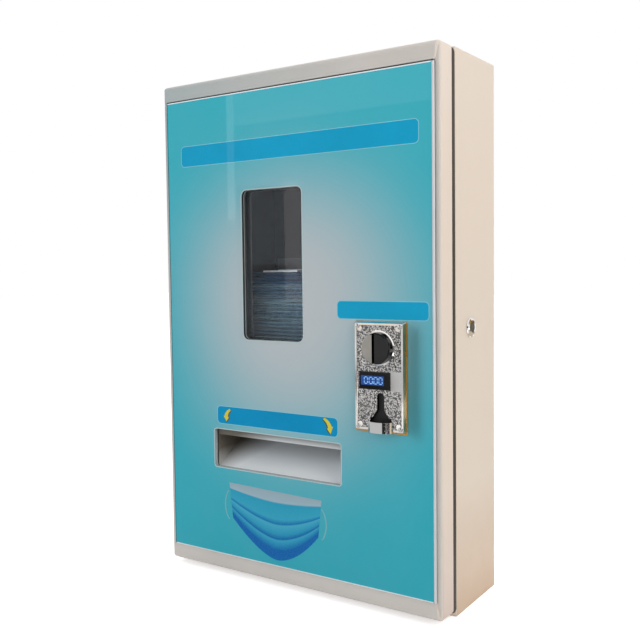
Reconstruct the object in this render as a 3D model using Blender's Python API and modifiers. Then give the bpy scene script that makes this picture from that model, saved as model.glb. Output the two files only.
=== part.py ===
"""Face mask vending machine: a wall cabinet with a glazed door, a coin selector and a mask feed.

The part stands upright with its door towards -Y and its wall face towards +Y. The origin is on the
base plane, midway across the cabinet and midway between the wall face and the coin return cup.
Sizes are in metres. Most places are given from the door's lower left front corner, as seen by
someone who stands in front of it.
"""

import math

import bmesh
import bpy
from mathutils import Matrix, Vector

# Cabinet and door, overall
DOOR_WIDTH = 0.400
DOOR_HEIGHT = 0.640
CASE_DEPTH = 0.160
DOOR_DEPTH = 0.0333
DOOR_GAP = 0.0081
DOOR_LIFT = 0.0068
BODY_DROP = 0.0005
FRONT_REACH = 0.0145
CLEARANCE = 0.0003
OVERRUN = 0.002

# Cabinet shell, folded sheet
SHEET = 0.0012
BEND_RADIUS = 0.0022
NECK_INSET = 0.0035
NECK_RUN = 0.0008
KEYHOLE_HEAD_RADIUS = 0.0055
KEYHOLE_SLOT_RADIUS = 0.0028
KEYHOLE_RISE = 0.012
KEYHOLE_END_SHARE = 0.98
KEYHOLE_FROM_SIDE = 0.050
KEYHOLE_FROM_TOP = 0.060
KEYHOLE_FROM_BASE = 0.165

# Door frame, one folded ring with deep rails and narrow stiles
RAIL_HEIGHT = 0.021
STILE_WIDTH = 0.007
FRAME_CORNER_RADIUS = 0.005
FRAME_WALL = 0.0015
RAIL_ROUND = 0.0075
STILE_ROUND = 0.003
STILE_SETBACK = 0.0032
RAIL_LIP_SETBACK = 0.0014
RAIL_BEAD = 0.0024
RAIL_BEAD_RISE = 0.0004
STILE_BEAD_SHARE = 0.3
BEAD_SLOPE_SHARE = 0.25
INNER_ROUND_SHARE = 0.25
FRAME_INNER_RADIUS = 0.0004
REBATE_DEPTH = 0.006
REAR_LIP = 0.016
REAR_EDGE_ROUND = 0.001

# Door skins: printed front panel, steel panel, pane and its retainer
FRONT_PANEL_SETBACK = 0.001
FRONT_PANEL_BEVEL = 0.0006
DOOR_PANEL_THICKNESS = 0.0015
DOOR_PANEL_STILE_LAP = 0.0044
DOOR_PANEL_RAIL_LAP = 0.014
WINDOW_LEFT_SHARE = 0.32525
WINDOW_WIDTH_SHARE = 0.226
WINDOW_SILL = 0.3061
WINDOW_HEIGHT = 0.1884
WINDOW_CORNER_RADIUS = 0.0075
PANE_THICKNESS = 0.002
PANE_LAP = 0.008
RETAINER_WALL = 0.006
RETAINER_DEPTH = 0.0145

# Mask exit in the door and the tray behind it
EXIT_LEFT_SHARE = 0.199
EXIT_WIDTH_SHARE = 0.48075
EXIT_SILL = 0.137
EXIT_HEIGHT = 0.050
EXIT_CORNER_RADIUS = 0.0035
TRAY_SHEET = 0.0012
TRAY_SILL_DROP = 0.0022
TRAY_HEAD_RISE = 0.005
TRAY_REAR_RISE = 0.056
TRAY_REAR_WALL = 0.011
TRAY_DEPTH = 0.071
HOOD_DROP = 0.0085
HOOD_RETURN = 0.006

# Mask packs, magazine and the weight on the stack
PACK_EXIT_ROOM = 0.0073
PACK_DEPTH = 0.096
PACK_SIDE_ROOM = 0.0035
STACK_HEIGHT = 0.1877
STACK_EDGE_ROUND = 0.003
MAGAZINE_SHEET = 0.0012
MAGAZINE_HEIGHT = 0.318
MAGAZINE_LIP = 0.026
MAGAZINE_PACK_GAP = 0.009
MAGAZINE_FLANGE = 0.012
FOLLOWER_WIDTH = 0.054
FOLLOWER_DEPTH = 0.082
FOLLOWER_PLATE = 0.002
FOLLOWER_LEFT_OF_CENTRE = 0.0208
FOLLOWER_BLOCK_WIDTH = 0.040
FOLLOWER_BLOCK_DEPTH = 0.036
FOLLOWER_BLOCK_HEIGHT = 0.016

# Feed: base with cheeks, shaft, rollers, bushes and gears
BASE_SHEET = 0.0015
BASE_FLOOR_ABOVE = 0.2015
BASE_CHEEK_HEIGHT = 0.044
BASE_FOOT_HEIGHT = 0.018
BASE_FOOT = 0.012
SLOT_ROOM = 0.002
SHAFT_RADIUS = 0.004
SHAFT_FROM_WALL = 0.050
ROLLER_RADIUS = 0.020
ROLLER_WIDTH = 0.016
ROLLER_SPREAD = 0.092
ROLLER_PROUD = 0.0012
ROLLER_HUB_RADIUS = 0.007
ROLLER_GROOVE = 0.0012
ROLLER_GROOVE_SHARE = 0.125
GROOVE_PLACE_SHARE = 1.5
GROOVE_FLOOR_SHARE = 0.25
BUSH_RADIUS = 0.0075
BUSH_FLANGE_RADIUS = 0.0105
BUSH_FLANGE = 0.002
BUSH_LENGTH = 0.006
GEAR_MODULE = 0.00125
GEAR_TEETH = 40
PINION_TEETH = 16
GEAR_WIDTH = 0.008
GEAR_BACKLASH = 0.00025
GEAR_STANDOFF = 0.0055
GEAR_WEB_HOLES = 6
GEAR_WEB_HOLE_RADIUS = 0.0045
GEAR_HUB_RADIUS = 0.0085
GEAR_HUB_LENGTH = 0.003
ROOT_SHARE = 1.25
FLANK_STEPS = 3
PINION_SHAFT_END = 0.0015
SHAFT_END = 0.003
PRESSURE_ANGLE = math.radians(20)

# Gear motor and its bracket
MOTOR_SHAFT_RADIUS = 0.0025
MOTOR_GEARBOX_RADIUS = 0.0165
MOTOR_GEARBOX_LENGTH = 0.022
MOTOR_CAN_RADIUS = 0.0135
MOTOR_CAN_LENGTH = 0.030
MOTOR_BOSS_RADIUS = 0.006
MOTOR_BOSS_LENGTH = 0.003
BRACKET_SHEET = 0.002
BRACKET_HEIGHT = 0.044
BRACKET_FLANGE = 0.020
BRACKET_ROOM = 0.001

# Coin selector: face plate, entry, display and return cup
SELECTOR_RIGHT_SHARE = 0.18425
SELECTOR_ABOVE = 0.271
SELECTOR_WIDTH = 0.0655
SELECTOR_HEIGHT = 0.127
SELECTOR_THICKNESS = 0.0052
SELECTOR_BEVEL = 0.0021
SELECTOR_CORNER_RADIUS = 0.0022
SELECTOR_RIM = 0.0022
SELECTOR_FIELD_DEPTH = 0.0009
BOSS_RADIUS = 0.0039
BOSS_FROM_EDGE = 0.0082
BOSS_RISE = 0.0008
BOSS_TOP_SHARE = 0.8
NOTCH_RADIUS = 0.0013
NOTCH_ABOVE_CENTRE = 0.030
ENTRY_ABOVE_CENTRE = 0.033
ENTRY_RING_RADIUS = 0.02075
ENTRY_RING_RISE = 0.0028
ENTRY_RING_BEVEL = 0.0012
ENTRY_RADIUS = 0.018
ENTRY_RISE = 0.0096
ENTRY_EDGE_ROUND = 0.0012
SLOT_WIDTH = 0.0032
SLOT_LEFT_OF_CENTRE = 0.0025
BUTTON_TRAVEL = 0.004
BUTTON_SHAFT_ROOM = 0.001
DISPLAY_WIDTH = 0.040
DISPLAY_HEIGHT = 0.020
DISPLAY_LEFT_OF_CENTRE = 0.0057
DISPLAY_BELOW_CENTRE = 0.0045
DISPLAY_PROUD = 0.0006
DISPLAY_DEPTH = 0.0034
DISPLAY_BORDER = 0.002
DISPLAY_LIT_WIDTH = 0.030
DISPLAY_LIT_HEIGHT = 0.0115
DISPLAY_SUNK = 0.0005
RETURN_RIGHT_OF_CENTRE = 0.0018
RETURN_SLOT_WIDTH = 0.0093
RETURN_SLOT_TOP_BELOW = 0.018
CUP_WIDTH = 0.0309
CUP_WALL = 0.0018
CUP_HEIGHT = 0.0125
CUP_ABOVE_EDGE = 0.0005
CUP_MOUTH_RISE = 0.012

# Coin selector behind the door, and its chute
BODY_EDGE_ROOM = 0.0025
SELECTOR_HOLE_INSET = 0.0027
SELECTOR_BODY_DEPTH = 0.074
SELECTOR_BODY_STEP = 0.052
SELECTOR_STEP_NARROW = 0.012
SELECTOR_EDGE_ROUND = 0.0015
SELECTOR_RIB = 0.0015
SELECTOR_RIB_COUNT = 5
SOCKET_WIDTH = 0.020
SOCKET_HEIGHT = 0.010
SOCKET_LENGTH = 0.005
CHUTE_SHEET = 0.0012
CHUTE_WIDTH = 0.036
CHUTE_THROAT = 0.014
CHUTE_DROP = 0.076
CHUTE_LEAN = 0.045

# Coin box, standing on the cabinet floor
COIN_BOX_WIDTH = 0.098
COIN_BOX_DEPTH = 0.088
COIN_BOX_HEIGHT = 0.110
COIN_BOX_TAPER_SHARE = 0.95
COIN_BOX_WALL = 0.0016
COIN_BOX_FROM_RIGHT = 0.012
COIN_BOX_FROM_WALL = 0.008
COIN_BOX_GRIP_WIDTH = 0.040
COIN_BOX_GRIP_REACH = 0.010
COIN_BOX_GRIP_HEIGHT = 0.004

# Cam lock in the right side of the cabinet, and the catch on the door
LOCK_BEHIND = 0.0828
LOCK_ABOVE = 0.324
LOCK_CAP_RADIUS = 0.01185
LOCK_CAP_RISE = 0.0033
LOCK_DOME_SHARES = (0.72, 0.93, 0.92, 0.62, 0.25)
LOCK_BARREL_RADIUS = 0.009
LOCK_BARREL_LENGTH = 0.0225
LOCK_PLUG_RADIUS = 0.0056
LOCK_NUT_RADIUS = 0.0125
LOCK_NUT_LENGTH = 0.004
KEY_SLOT_LENGTH = 0.0066
KEY_SLOT_WIDTH = 0.0013
KEY_SLOT_DEPTH = 0.004
CAM_THICKNESS = 0.002
CAM_REACH = 0.034
CAM_WIDTH = 0.012
CAM_GAP = 0.001
CATCH_SHEET = 0.002
CATCH_HEIGHT = 0.012
CATCH_BELOW_BARREL = 0.003
CATCH_CLEARANCE = 0.0025
CATCH_LIP = 0.008
CATCH_FOOT = 0.014
CATCH_FOOT_HEIGHT = 0.040

# Hinges, between the door's rear lip and the front of the cabinet
HINGE_FROM_LEFT = 0.003
HINGE_KNUCKLE_RADIUS = 0.003
HINGE_PIN_RADIUS = 0.0012
HINGE_LEAF = 0.0012
HINGE_LEAF_WIDTH = 0.014
HINGE_HEIGHT = 0.050
HINGE_FROM_END = 0.075
HINGE_KNUCKLE_COUNT = 5
HINGE_PIN_HEAD = 0.001
HINGE_NOTCH_ROOM = 0.002

# Electrics: control board, power supply and the cable grommet
BOARD_WIDTH = 0.080
BOARD_HEIGHT = 0.100
BOARD_THICKNESS = 0.0016
BOARD_FROM_RIGHT = 0.012
BOARD_ABOVE = 0.410
STANDOFF_RADIUS = 0.003
STANDOFF_HEIGHT = 0.008
STANDOFF_FROM_EDGE = 0.006
CHIP_HEIGHT = 0.004
RELAY_WIDTH = 0.015
RELAY_LENGTH = 0.019
RELAY_HEIGHT = 0.0155
RELAY_COUNT = 3
TERMINAL_DEPTH = 0.009
TERMINAL_HEIGHT = 0.011
SUPPLY_WIDTH = 0.056
SUPPLY_DEPTH = 0.036
SUPPLY_HEIGHT = 0.110
SUPPLY_FROM_LEFT = 0.008
SUPPLY_ABOVE_FLOOR = 0.035
SUPPLY_VENT_COUNT = 6
SUPPLY_VENT_HEIGHT = 0.003
SUPPLY_VENT_DEPTH = 0.0015
SUPPLY_VENT_SHARE = 0.6
SUPPLY_STEP = 0.010
SUPPLY_STEP_HEIGHT = 0.016
GROMMET_FROM_WALL = 0.030
GROMMET_ABOVE_FLOOR = 0.018
GROMMET_NECK_RADIUS = 0.008
GROMMET_FLANGE_RADIUS = 0.0112
GROMMET_FLANGE = 0.0018
GROMMET_BORE_RADIUS = 0.0045

# Round shapes and edges
ROUND_STEPS = 32
SMALL_ROUND_STEPS = 20
TURNED_STEPS = 24
BORE_STEPS = 16
PIN_STEPS = 12
HALF_ROUND_STEPS = 8
CUP_STEPS = 14
BEND_STEPS = 3
EDGE_ANGLE = 30
SMOOTH_ANGLE = 35
PANEL_EDGE_ANGLE = 60
MERGE_DISTANCE = 0.0000001
SEAM_MERGE_DISTANCE = 0.000001
CORNER_STEPS = 4
FRAME_ROUND_STEPS = 5
HEX_STEPS = 6

# Places worked out from the sizes
LEFT = -DOOR_WIDTH / 2
RIGHT = DOOR_WIDTH / 2
WALL_Y = (CASE_DEPTH + FRONT_REACH) / 2
FRONT_Y = WALL_Y - CASE_DEPTH
DOOR_REAR_Y = FRONT_Y + DOOR_DEPTH
BODY_FRONT_Y = DOOR_REAR_Y + DOOR_GAP
DOOR_BOTTOM = DOOR_LIFT
DOOR_TOP = DOOR_BOTTOM + DOOR_HEIGHT
BODY_TOP = DOOR_TOP - BODY_DROP
BACK_INNER_Y = WALL_Y - SHEET
RIGHT_INNER = RIGHT - SHEET
LEFT_INNER = LEFT + SHEET
HINGE_X = LEFT + HINGE_FROM_LEFT
HINGE_Y = DOOR_REAR_Y + DOOR_GAP / 2
PANEL_FRONT_Y = FRONT_Y + REBATE_DEPTH + CLEARANCE
PANEL_REAR_Y = PANEL_FRONT_Y + DOOR_PANEL_THICKNESS
GLASS_FRONT_Y = FRONT_Y + FRONT_PANEL_SETBACK
WINDOW_LEFT = DOOR_WIDTH * WINDOW_LEFT_SHARE
WINDOW_WIDTH = DOOR_WIDTH * WINDOW_WIDTH_SHARE
EXIT_LEFT = DOOR_WIDTH * EXIT_LEFT_SHARE
EXIT_WIDTH = DOOR_WIDTH * EXIT_WIDTH_SHARE
PACK_WIDTH = EXIT_WIDTH - PACK_EXIT_ROOM
MASK_X = LEFT + EXIT_LEFT + EXIT_WIDTH / 2
SHAFT_Y = WALL_Y - SHAFT_FROM_WALL
FLOOR_Z = DOOR_BOTTOM + BASE_FLOOR_ABOVE
SHAFT_Z = FLOOR_Z + ROLLER_PROUD - ROLLER_RADIUS
STACK_Z = FLOOR_Z + ROLLER_PROUD + CLEARANCE
STACK_TOP = STACK_Z + STACK_HEIGHT
MAGAZINE_REAR_Y = BACK_INNER_Y - MAGAZINE_FLANGE
PACK_REAR_Y = MAGAZINE_REAR_Y - MAGAZINE_SHEET - CLEARANCE
PACK_FRONT_Y = PACK_REAR_Y - PACK_DEPTH
MAGAZINE_FRONT_Y = PACK_FRONT_Y - CLEARANCE - MAGAZINE_SHEET
MAGAZINE_HALF = PACK_WIDTH / 2 + PACK_SIDE_ROOM + MAGAZINE_SHEET
CHEEK_X = MASK_X + MAGAZINE_HALF
CHEEK_INNER = MAGAZINE_HALF - BASE_SHEET
GEAR_X = CHEEK_X + GEAR_STANDOFF
GEAR_CENTRES = GEAR_MODULE * (GEAR_TEETH + PINION_TEETH) / 2
PINION_Z = SHAFT_Z - GEAR_CENTRES
BRACKET_X = GEAR_X + GEAR_WIDTH + GEAR_HUB_LENGTH + BRACKET_ROOM
MOTOR_X = BRACKET_X + BRACKET_SHEET + CLEARANCE
SELECTOR_X = RIGHT - DOOR_WIDTH * SELECTOR_RIGHT_SHARE
SELECTOR_Z = DOOR_BOTTOM + SELECTOR_ABOVE
PLATE_REAR_Y = GLASS_FRONT_Y - CLEARANCE
PLATE_FRONT_Y = PLATE_REAR_Y - SELECTOR_THICKNESS
FIELD_Y = PLATE_FRONT_Y + SELECTOR_FIELD_DEPTH
ENTRY_Z = SELECTOR_Z + ENTRY_ABOVE_CENTRE
SLOT_X = SELECTOR_X - SLOT_LEFT_OF_CENTRE
ENTRY_FRONT_Y = FIELD_Y - ENTRY_RISE
BUTTON_REAR_Y = PLATE_REAR_Y - BUTTON_SHAFT_ROOM
LOCK_Y = FRONT_Y + LOCK_BEHIND
LOCK_Z = DOOR_BOTTOM + LOCK_ABOVE
CAM_RIGHT_X = RIGHT_INNER - LOCK_BARREL_LENGTH - CAM_GAP

MATERIALS = {
    "powder_coat": ((0.80, 0.72, 0.63), 0.45, 0.0),
    "frame_coat": ((0.62, 0.58, 0.56), 0.35, 0.0),
    "inner_steel": ((0.70, 0.71, 0.72), 0.35, 0.9),
    "front_print": ((0.07, 0.42, 0.50), 0.08, 0.0),
    "clear_pane": ((0.80, 0.86, 0.88), 0.05, 0.0),
    "chrome": ((0.80, 0.80, 0.80), 0.08, 1.0),
    "black_gloss": ((0.01, 0.01, 0.012), 0.12, 0.0),
    "black_plastic": ((0.02, 0.02, 0.02), 0.5, 0.0),
    "mask_pack": ((0.16, 0.32, 0.52), 0.7, 0.0),
    "rubber": ((0.03, 0.03, 0.03), 0.8, 0.0),
    "bronze": ((0.55, 0.36, 0.16), 0.35, 1.0),
    "gear_plastic": ((0.75, 0.74, 0.68), 0.45, 0.0),
    "circuit_board": ((0.02, 0.20, 0.09), 0.4, 0.0),
    "white_sheet": ((0.85, 0.85, 0.83), 0.4, 0.0),
}


def new_collection(name):
    """A collection linked to the scene."""
    made = bpy.data.collections.new(name)
    bpy.context.scene.collection.children.link(made)
    return made


def material(slot):
    """The shared material of this slot."""
    found = bpy.data.materials.get(slot)
    if found:
        return found
    colour, roughness, metallic = MATERIALS[slot]
    made = bpy.data.materials.new(slot)
    made.use_nodes = True
    shader = made.node_tree.nodes["Principled BSDF"]
    shader.inputs["Base Color"].default_value = (*colour, 1)
    shader.inputs["Roughness"].default_value = roughness
    shader.inputs["Metallic"].default_value = metallic
    return made


def piece(name, mesh, slot=None, location=(0, 0, 0), rotation=(0, 0, 0)):
    """An object of the part, or a cutter where it has no slot."""
    obj = bpy.data.objects.new(name, mesh)
    obj.location = location
    obj.rotation_euler = rotation
    if slot is None:
        CUTTERS.objects.link(obj)
        obj.hide_render = True
        obj.display_type = "WIRE"
    else:
        PARTS.objects.link(obj)
        mesh.materials.append(material(slot))
    return obj


def box(name, low, high, slot=None, rounded=0, segments=2):
    """A box between two corners, its edges rounded by a Bevel."""
    low = Vector(low)
    high = Vector(high)
    mesh = bpy.data.meshes.new(name)
    bm = bmesh.new()
    bmesh.ops.create_cube(bm, size=1)
    bmesh.ops.scale(bm, vec=high - low, verts=bm.verts)
    bm.to_mesh(mesh)
    bm.free()
    obj = piece(name, mesh, slot, (low + high) / 2)
    if rounded:
        bevel(obj, rounded, segments)
    return obj


def bevel(obj, width, segments=2, angle=EDGE_ANGLE):
    """Rounds the edges sharper than this angle, in degrees."""
    modifier = obj.modifiers.new("edges", "BEVEL")
    modifier.width = width
    modifier.segments = segments
    modifier.limit_method = "ANGLE"
    modifier.angle_limit = math.radians(angle)


AXIS_TURNS = {
    "X": (0, math.pi / 2, 0),
    "Y": (-math.pi / 2, 0, 0),
    "Z": (0, 0, 0),
}


def cylinder(name, radius, start, length, axis, slot=None, steps=ROUND_STEPS, top_radius=None):
    """A cylinder or cone that starts at a point and runs along +X, +Y or +Z."""
    mesh = bpy.data.meshes.new(name)
    bm = bmesh.new()
    bmesh.ops.create_cone(
        bm,
        cap_ends=True,
        segments=steps,
        radius1=radius,
        radius2=radius if top_radius is None else top_radius,
        depth=length,
        matrix=Matrix.Translation((0, 0, length / 2)),
    )
    bm.to_mesh(mesh)
    bm.free()
    if steps > HEX_STEPS:
        mesh.shade_smooth()
        mesh.set_sharp_from_angle(angle=math.radians(SMOOTH_ANGLE))
    return piece(name, mesh, slot, start, AXIS_TURNS[axis])


OUTLINE_TURNS = {
    "X": (math.pi / 2, 0, math.pi / 2),
    "Y": (math.pi / 2, 0, 0),
    "Z": (0, 0, 0),
}


def plate(name, outlines, start, thickness, normal, slot=None):
    """A flat outline with its holes, extruded.

    Its outline is in (x, z) for a plate whose normal is Y, in (y, z) for X and in (x, y) for Z.
    The plate fills start to start + thickness along its normal.
    """
    curve = bpy.data.curves.new(name, "CURVE")
    curve.dimensions = "2D"
    curve.fill_mode = "BOTH"
    curve.extrude = thickness / 2
    for points in outlines:
        spline = curve.splines.new("POLY")
        spline.points.add(len(points) - 1)
        for point, (u, v) in zip(spline.points, points):
            point.co = (u, v, 0, 1)
        spline.use_cyclic_u = True
    guide = bpy.data.objects.new(name + ".outline", curve)
    CUTTERS.objects.link(guide)
    graph = bpy.context.evaluated_depsgraph_get()
    mesh = bpy.data.meshes.new_from_object(guide.evaluated_get(graph))
    bpy.data.objects.remove(guide)
    bm = bmesh.new()
    bm.from_mesh(mesh)
    bmesh.ops.remove_doubles(bm, verts=bm.verts, dist=MERGE_DISTANCE)
    bmesh.ops.recalc_face_normals(bm, faces=bm.faces)
    bm.to_mesh(mesh)
    bm.free()
    middle = start + thickness / 2
    location = {"X": (middle, 0, 0), "Y": (0, middle, 0), "Z": (0, 0, middle)}[normal]
    return piece(name, mesh, slot, location, OUTLINE_TURNS[normal])


def turned(name, profile, start, axis, slot=None, steps=ROUND_STEPS):
    """A turned solid from (radius, distance) points, listed from the far end back to the start."""
    mesh = bpy.data.meshes.new(name)
    count = len(profile)
    points = [(radius, 0, along) for radius, along in profile]
    edges = [(i, i + 1) for i in range(count - 1)]
    if profile[0][0] or profile[-1][0]:
        edges.append((count - 1, 0))
    mesh.from_pydata(points, edges, [])
    obj = piece(name, mesh, slot, start, AXIS_TURNS[axis])
    screw = obj.modifiers.new("turn", "SCREW")
    screw.axis = "Z"
    screw.steps = steps
    screw.render_steps = steps
    screw.use_merge_vertices = True
    screw.merge_threshold = SEAM_MERGE_DISTANCE
    return obj


def rectangle(low, high, radius=0, steps=CORNER_STEPS):
    """The outline of a rectangle with round corners, anticlockwise."""
    corners = [
        (high[0] - radius, low[1] + radius, -90),
        (high[0] - radius, high[1] - radius, 0),
        (low[0] + radius, high[1] - radius, 90),
        (low[0] + radius, low[1] + radius, 180),
    ]
    if not radius:
        return [(u, v) for u, v, _ in corners]
    points = []
    for u, v, begin in corners:
        for step in range(steps + 1):
            angle = math.radians(begin + 90 * step / steps)
            points.append((u + radius * math.cos(angle), v + radius * math.sin(angle)))
    return points


def circle(centre, radius, steps=SMALL_ROUND_STEPS):
    """The outline of a circle."""
    return [
        (
            centre[0] + radius * math.cos(2 * math.pi * step / steps),
            centre[1] + radius * math.sin(2 * math.pi * step / steps),
        )
        for step in range(steps)
    ]


def boolean(obj, other, operation):
    """Adds a Boolean of this object with another one."""
    modifier = obj.modifiers.new(operation.lower(), "BOOLEAN")
    modifier.operation = operation
    modifier.solver = "EXACT"
    modifier.object = other


def cut(obj, *cutters):
    """Takes each cutter away from the object."""
    for cutter in cutters:
        boolean(obj, cutter, "DIFFERENCE")
    return obj


def join(obj, *others):
    """Makes the object and the helper shapes one body."""
    for other in others:
        boolean(obj, other, "UNION")
    return obj


def pivot(name, location, nodes):
    """An empty on a joint's axis that carries the moving pieces."""
    empty = bpy.data.objects.new(name, None)
    empty.location = location
    PARTS.objects.link(empty)
    for node in nodes:
        node.parent = empty
        node.matrix_parent_inverse = Matrix.Translation(location).inverted()
    return empty


def cabinet_shell():
    """The folded cabinet: back, sides, top and base, with a front return and a set back neck."""
    neck_front = DOOR_REAR_Y + NECK_RUN
    low = Vector((LEFT, BODY_FRONT_Y, 0))
    high = Vector((RIGHT, WALL_Y, BODY_TOP))
    mesh = bpy.data.meshes.new("cabinet_shell")
    bm = bmesh.new()
    bmesh.ops.create_cube(bm, size=1)
    bmesh.ops.scale(bm, vec=high - low, verts=bm.verts)
    bmesh.ops.translate(bm, vec=(low + high) / 2, verts=bm.verts)
    front = [face for face in bm.faces if face.normal.y < 0]
    bmesh.ops.delete(bm, geom=front, context="FACES_ONLY")
    weights = bm.edges.layers.float.new("bevel_weight_edge")
    for edge in bm.edges:
        edge[weights] = 1
    rim = [edge for edge in bm.edges if edge.is_boundary]
    for step in ("return", "neck"):
        made = bmesh.ops.extrude_edge_only(bm, edges=rim)["geom"]
        for vertex in [item for item in made if isinstance(item, bmesh.types.BMVert)]:
            if step == "return":
                vertex.co.x -= math.copysign(NECK_INSET, vertex.co.x)
                vertex.co.z += NECK_INSET if vertex.co.z < BODY_TOP / 2 else -NECK_INSET
            else:
                vertex.co.y = neck_front
        rim = [item for item in made if isinstance(item, bmesh.types.BMEdge) and item.is_boundary]
    bmesh.ops.recalc_face_normals(bm, faces=bm.faces)
    bm.to_mesh(mesh)
    bm.free()
    shell = piece("cabinet_shell", mesh, "powder_coat")
    bend = shell.modifiers.new("bends", "BEVEL")
    bend.width = BEND_RADIUS
    bend.segments = BEND_STEPS
    bend.limit_method = "WEIGHT"
    skin = shell.modifiers.new("sheet", "SOLIDIFY")
    skin.thickness = SHEET
    skin.offset = -1
    skin.use_even_offset = True
    skin.use_quality_normals = True
    for number, (x, z) in enumerate(keyhole_places()):
        cut(shell, *keyhole(f"keyhole_{number}", x, z))
    cut(shell, cylinder("lock_hole", LOCK_BARREL_RADIUS + CLEARANCE,
                        (RIGHT - SHEET - OVERRUN, LOCK_Y, LOCK_Z), SHEET + 2 * OVERRUN, "X"))
    cut(shell, cylinder("grommet_hole", GROMMET_NECK_RADIUS + CLEARANCE,
                        (LEFT - OVERRUN, grommet_place()[0], grommet_place()[1]), SHEET + 2 * OVERRUN, "X",
                        steps=SMALL_ROUND_STEPS))
    for number, z in enumerate(hinge_places()):
        low = (LEFT - OVERRUN, neck_front - OVERRUN, z - HINGE_NOTCH_ROOM)
        high = (LEFT + HINGE_FROM_LEFT + HINGE_KNUCKLE_RADIUS + HINGE_LEAF_WIDTH,
                BODY_FRONT_Y - CLEARANCE / 2, z + HINGE_HEIGHT + HINGE_NOTCH_ROOM)
        cut(shell, box(f"hinge_notch_{number}", low, high))
    return shell


def keyhole_places():
    """Where the wall screws go: two by two, from the back's sides, top and base."""
    return [
        (side * (DOOR_WIDTH / 2 - KEYHOLE_FROM_SIDE), z)
        for side in (-1, 1)
        for z in (KEYHOLE_FROM_BASE, BODY_TOP - KEYHOLE_FROM_TOP)
    ]


def keyhole(name, x, z):
    """The cutters of one keyhole slot: a round head and a narrow slot above it."""
    start = BACK_INNER_Y - OVERRUN
    run = SHEET + 2 * OVERRUN
    head = cylinder(name + "_head", KEYHOLE_HEAD_RADIUS, (x, start, z), run, "Y", steps=SMALL_ROUND_STEPS)
    low = (x - KEYHOLE_SLOT_RADIUS, z)
    high = (x + KEYHOLE_SLOT_RADIUS, z + KEYHOLE_RISE)
    end = KEYHOLE_SLOT_RADIUS * KEYHOLE_END_SHARE
    slot = plate(name + "_slot", [rectangle(low, high, end)], start, run, "Y")
    return head, slot


def grommet_place():
    """The cable grommet's (y, z) in the left side."""
    return WALL_Y - GROMMET_FROM_WALL, SHEET + GROMMET_ABOVE_FLOOR


def hinge_places():
    """The base heights of the lower and upper hinge."""
    return (
        DOOR_BOTTOM + HINGE_FROM_END,
        DOOR_TOP - HINGE_FROM_END - HINGE_HEIGHT,
    )


def frame_section():
    """The door ring's section, as (rail inset, stile inset, rail depth, stile depth) points.

    It runs up the outer side, over the round front edge, down the bead, back along the rebate,
    then round the inside of the folded sheet to the rear lip.
    """
    stile_face = STILE_SETBACK
    points = [
        (REAR_EDGE_ROUND, REAR_EDGE_ROUND, DOOR_DEPTH, DOOR_DEPTH),
        (0, 0, DOOR_DEPTH - REAR_EDGE_ROUND, DOOR_DEPTH - REAR_EDGE_ROUND),
    ]
    for step in range(FRAME_ROUND_STEPS + 1):
        angle = math.pi / 2 * step / FRAME_ROUND_STEPS
        inset = 1 - math.cos(angle)
        depth = 1 - math.sin(angle)
        points.append((RAIL_ROUND * inset, STILE_ROUND * inset,
                       RAIL_ROUND * depth, stile_face + STILE_ROUND * depth))
    bead_edge = RAIL_HEIGHT - RAIL_BEAD
    stile_bead = STILE_BEAD_SHARE * (STILE_WIDTH - STILE_ROUND)
    bead_depth = RAIL_LIP_SETBACK - RAIL_BEAD_RISE
    rebate_wall_rail = RAIL_HEIGHT - FRAME_WALL
    rebate_wall_stile = STILE_WIDTH - FRAME_WALL
    inner_round = STILE_ROUND * INNER_ROUND_SHARE
    points += [
        (bead_edge, STILE_WIDTH - stile_bead, RAIL_LIP_SETBACK, stile_face),
        (bead_edge + RAIL_BEAD_RISE, STILE_WIDTH - stile_bead / 2, bead_depth, stile_face),
        (RAIL_HEIGHT - RAIL_BEAD_RISE, STILE_WIDTH - stile_bead * BEAD_SLOPE_SHARE, bead_depth, stile_face),
        (RAIL_HEIGHT, STILE_WIDTH, RAIL_LIP_SETBACK, stile_face + RAIL_BEAD_RISE),
        (RAIL_HEIGHT, STILE_WIDTH, REBATE_DEPTH, REBATE_DEPTH),
        (rebate_wall_rail, rebate_wall_stile, REBATE_DEPTH, REBATE_DEPTH),
        (rebate_wall_rail, rebate_wall_stile, RAIL_LIP_SETBACK + FRAME_WALL, stile_face + FRAME_WALL),
        (RAIL_ROUND, FRAME_WALL + inner_round, FRAME_WALL, stile_face + FRAME_WALL),
        (FRAME_WALL, FRAME_WALL, RAIL_ROUND, stile_face + FRAME_WALL + inner_round),
        (FRAME_WALL, FRAME_WALL, DOOR_DEPTH - FRAME_WALL, DOOR_DEPTH - FRAME_WALL),
        (REAR_LIP, REAR_LIP, DOOR_DEPTH - FRAME_WALL, DOOR_DEPTH - FRAME_WALL),
        (REAR_LIP, REAR_LIP, DOOR_DEPTH, DOOR_DEPTH),
    ]
    return points


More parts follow.
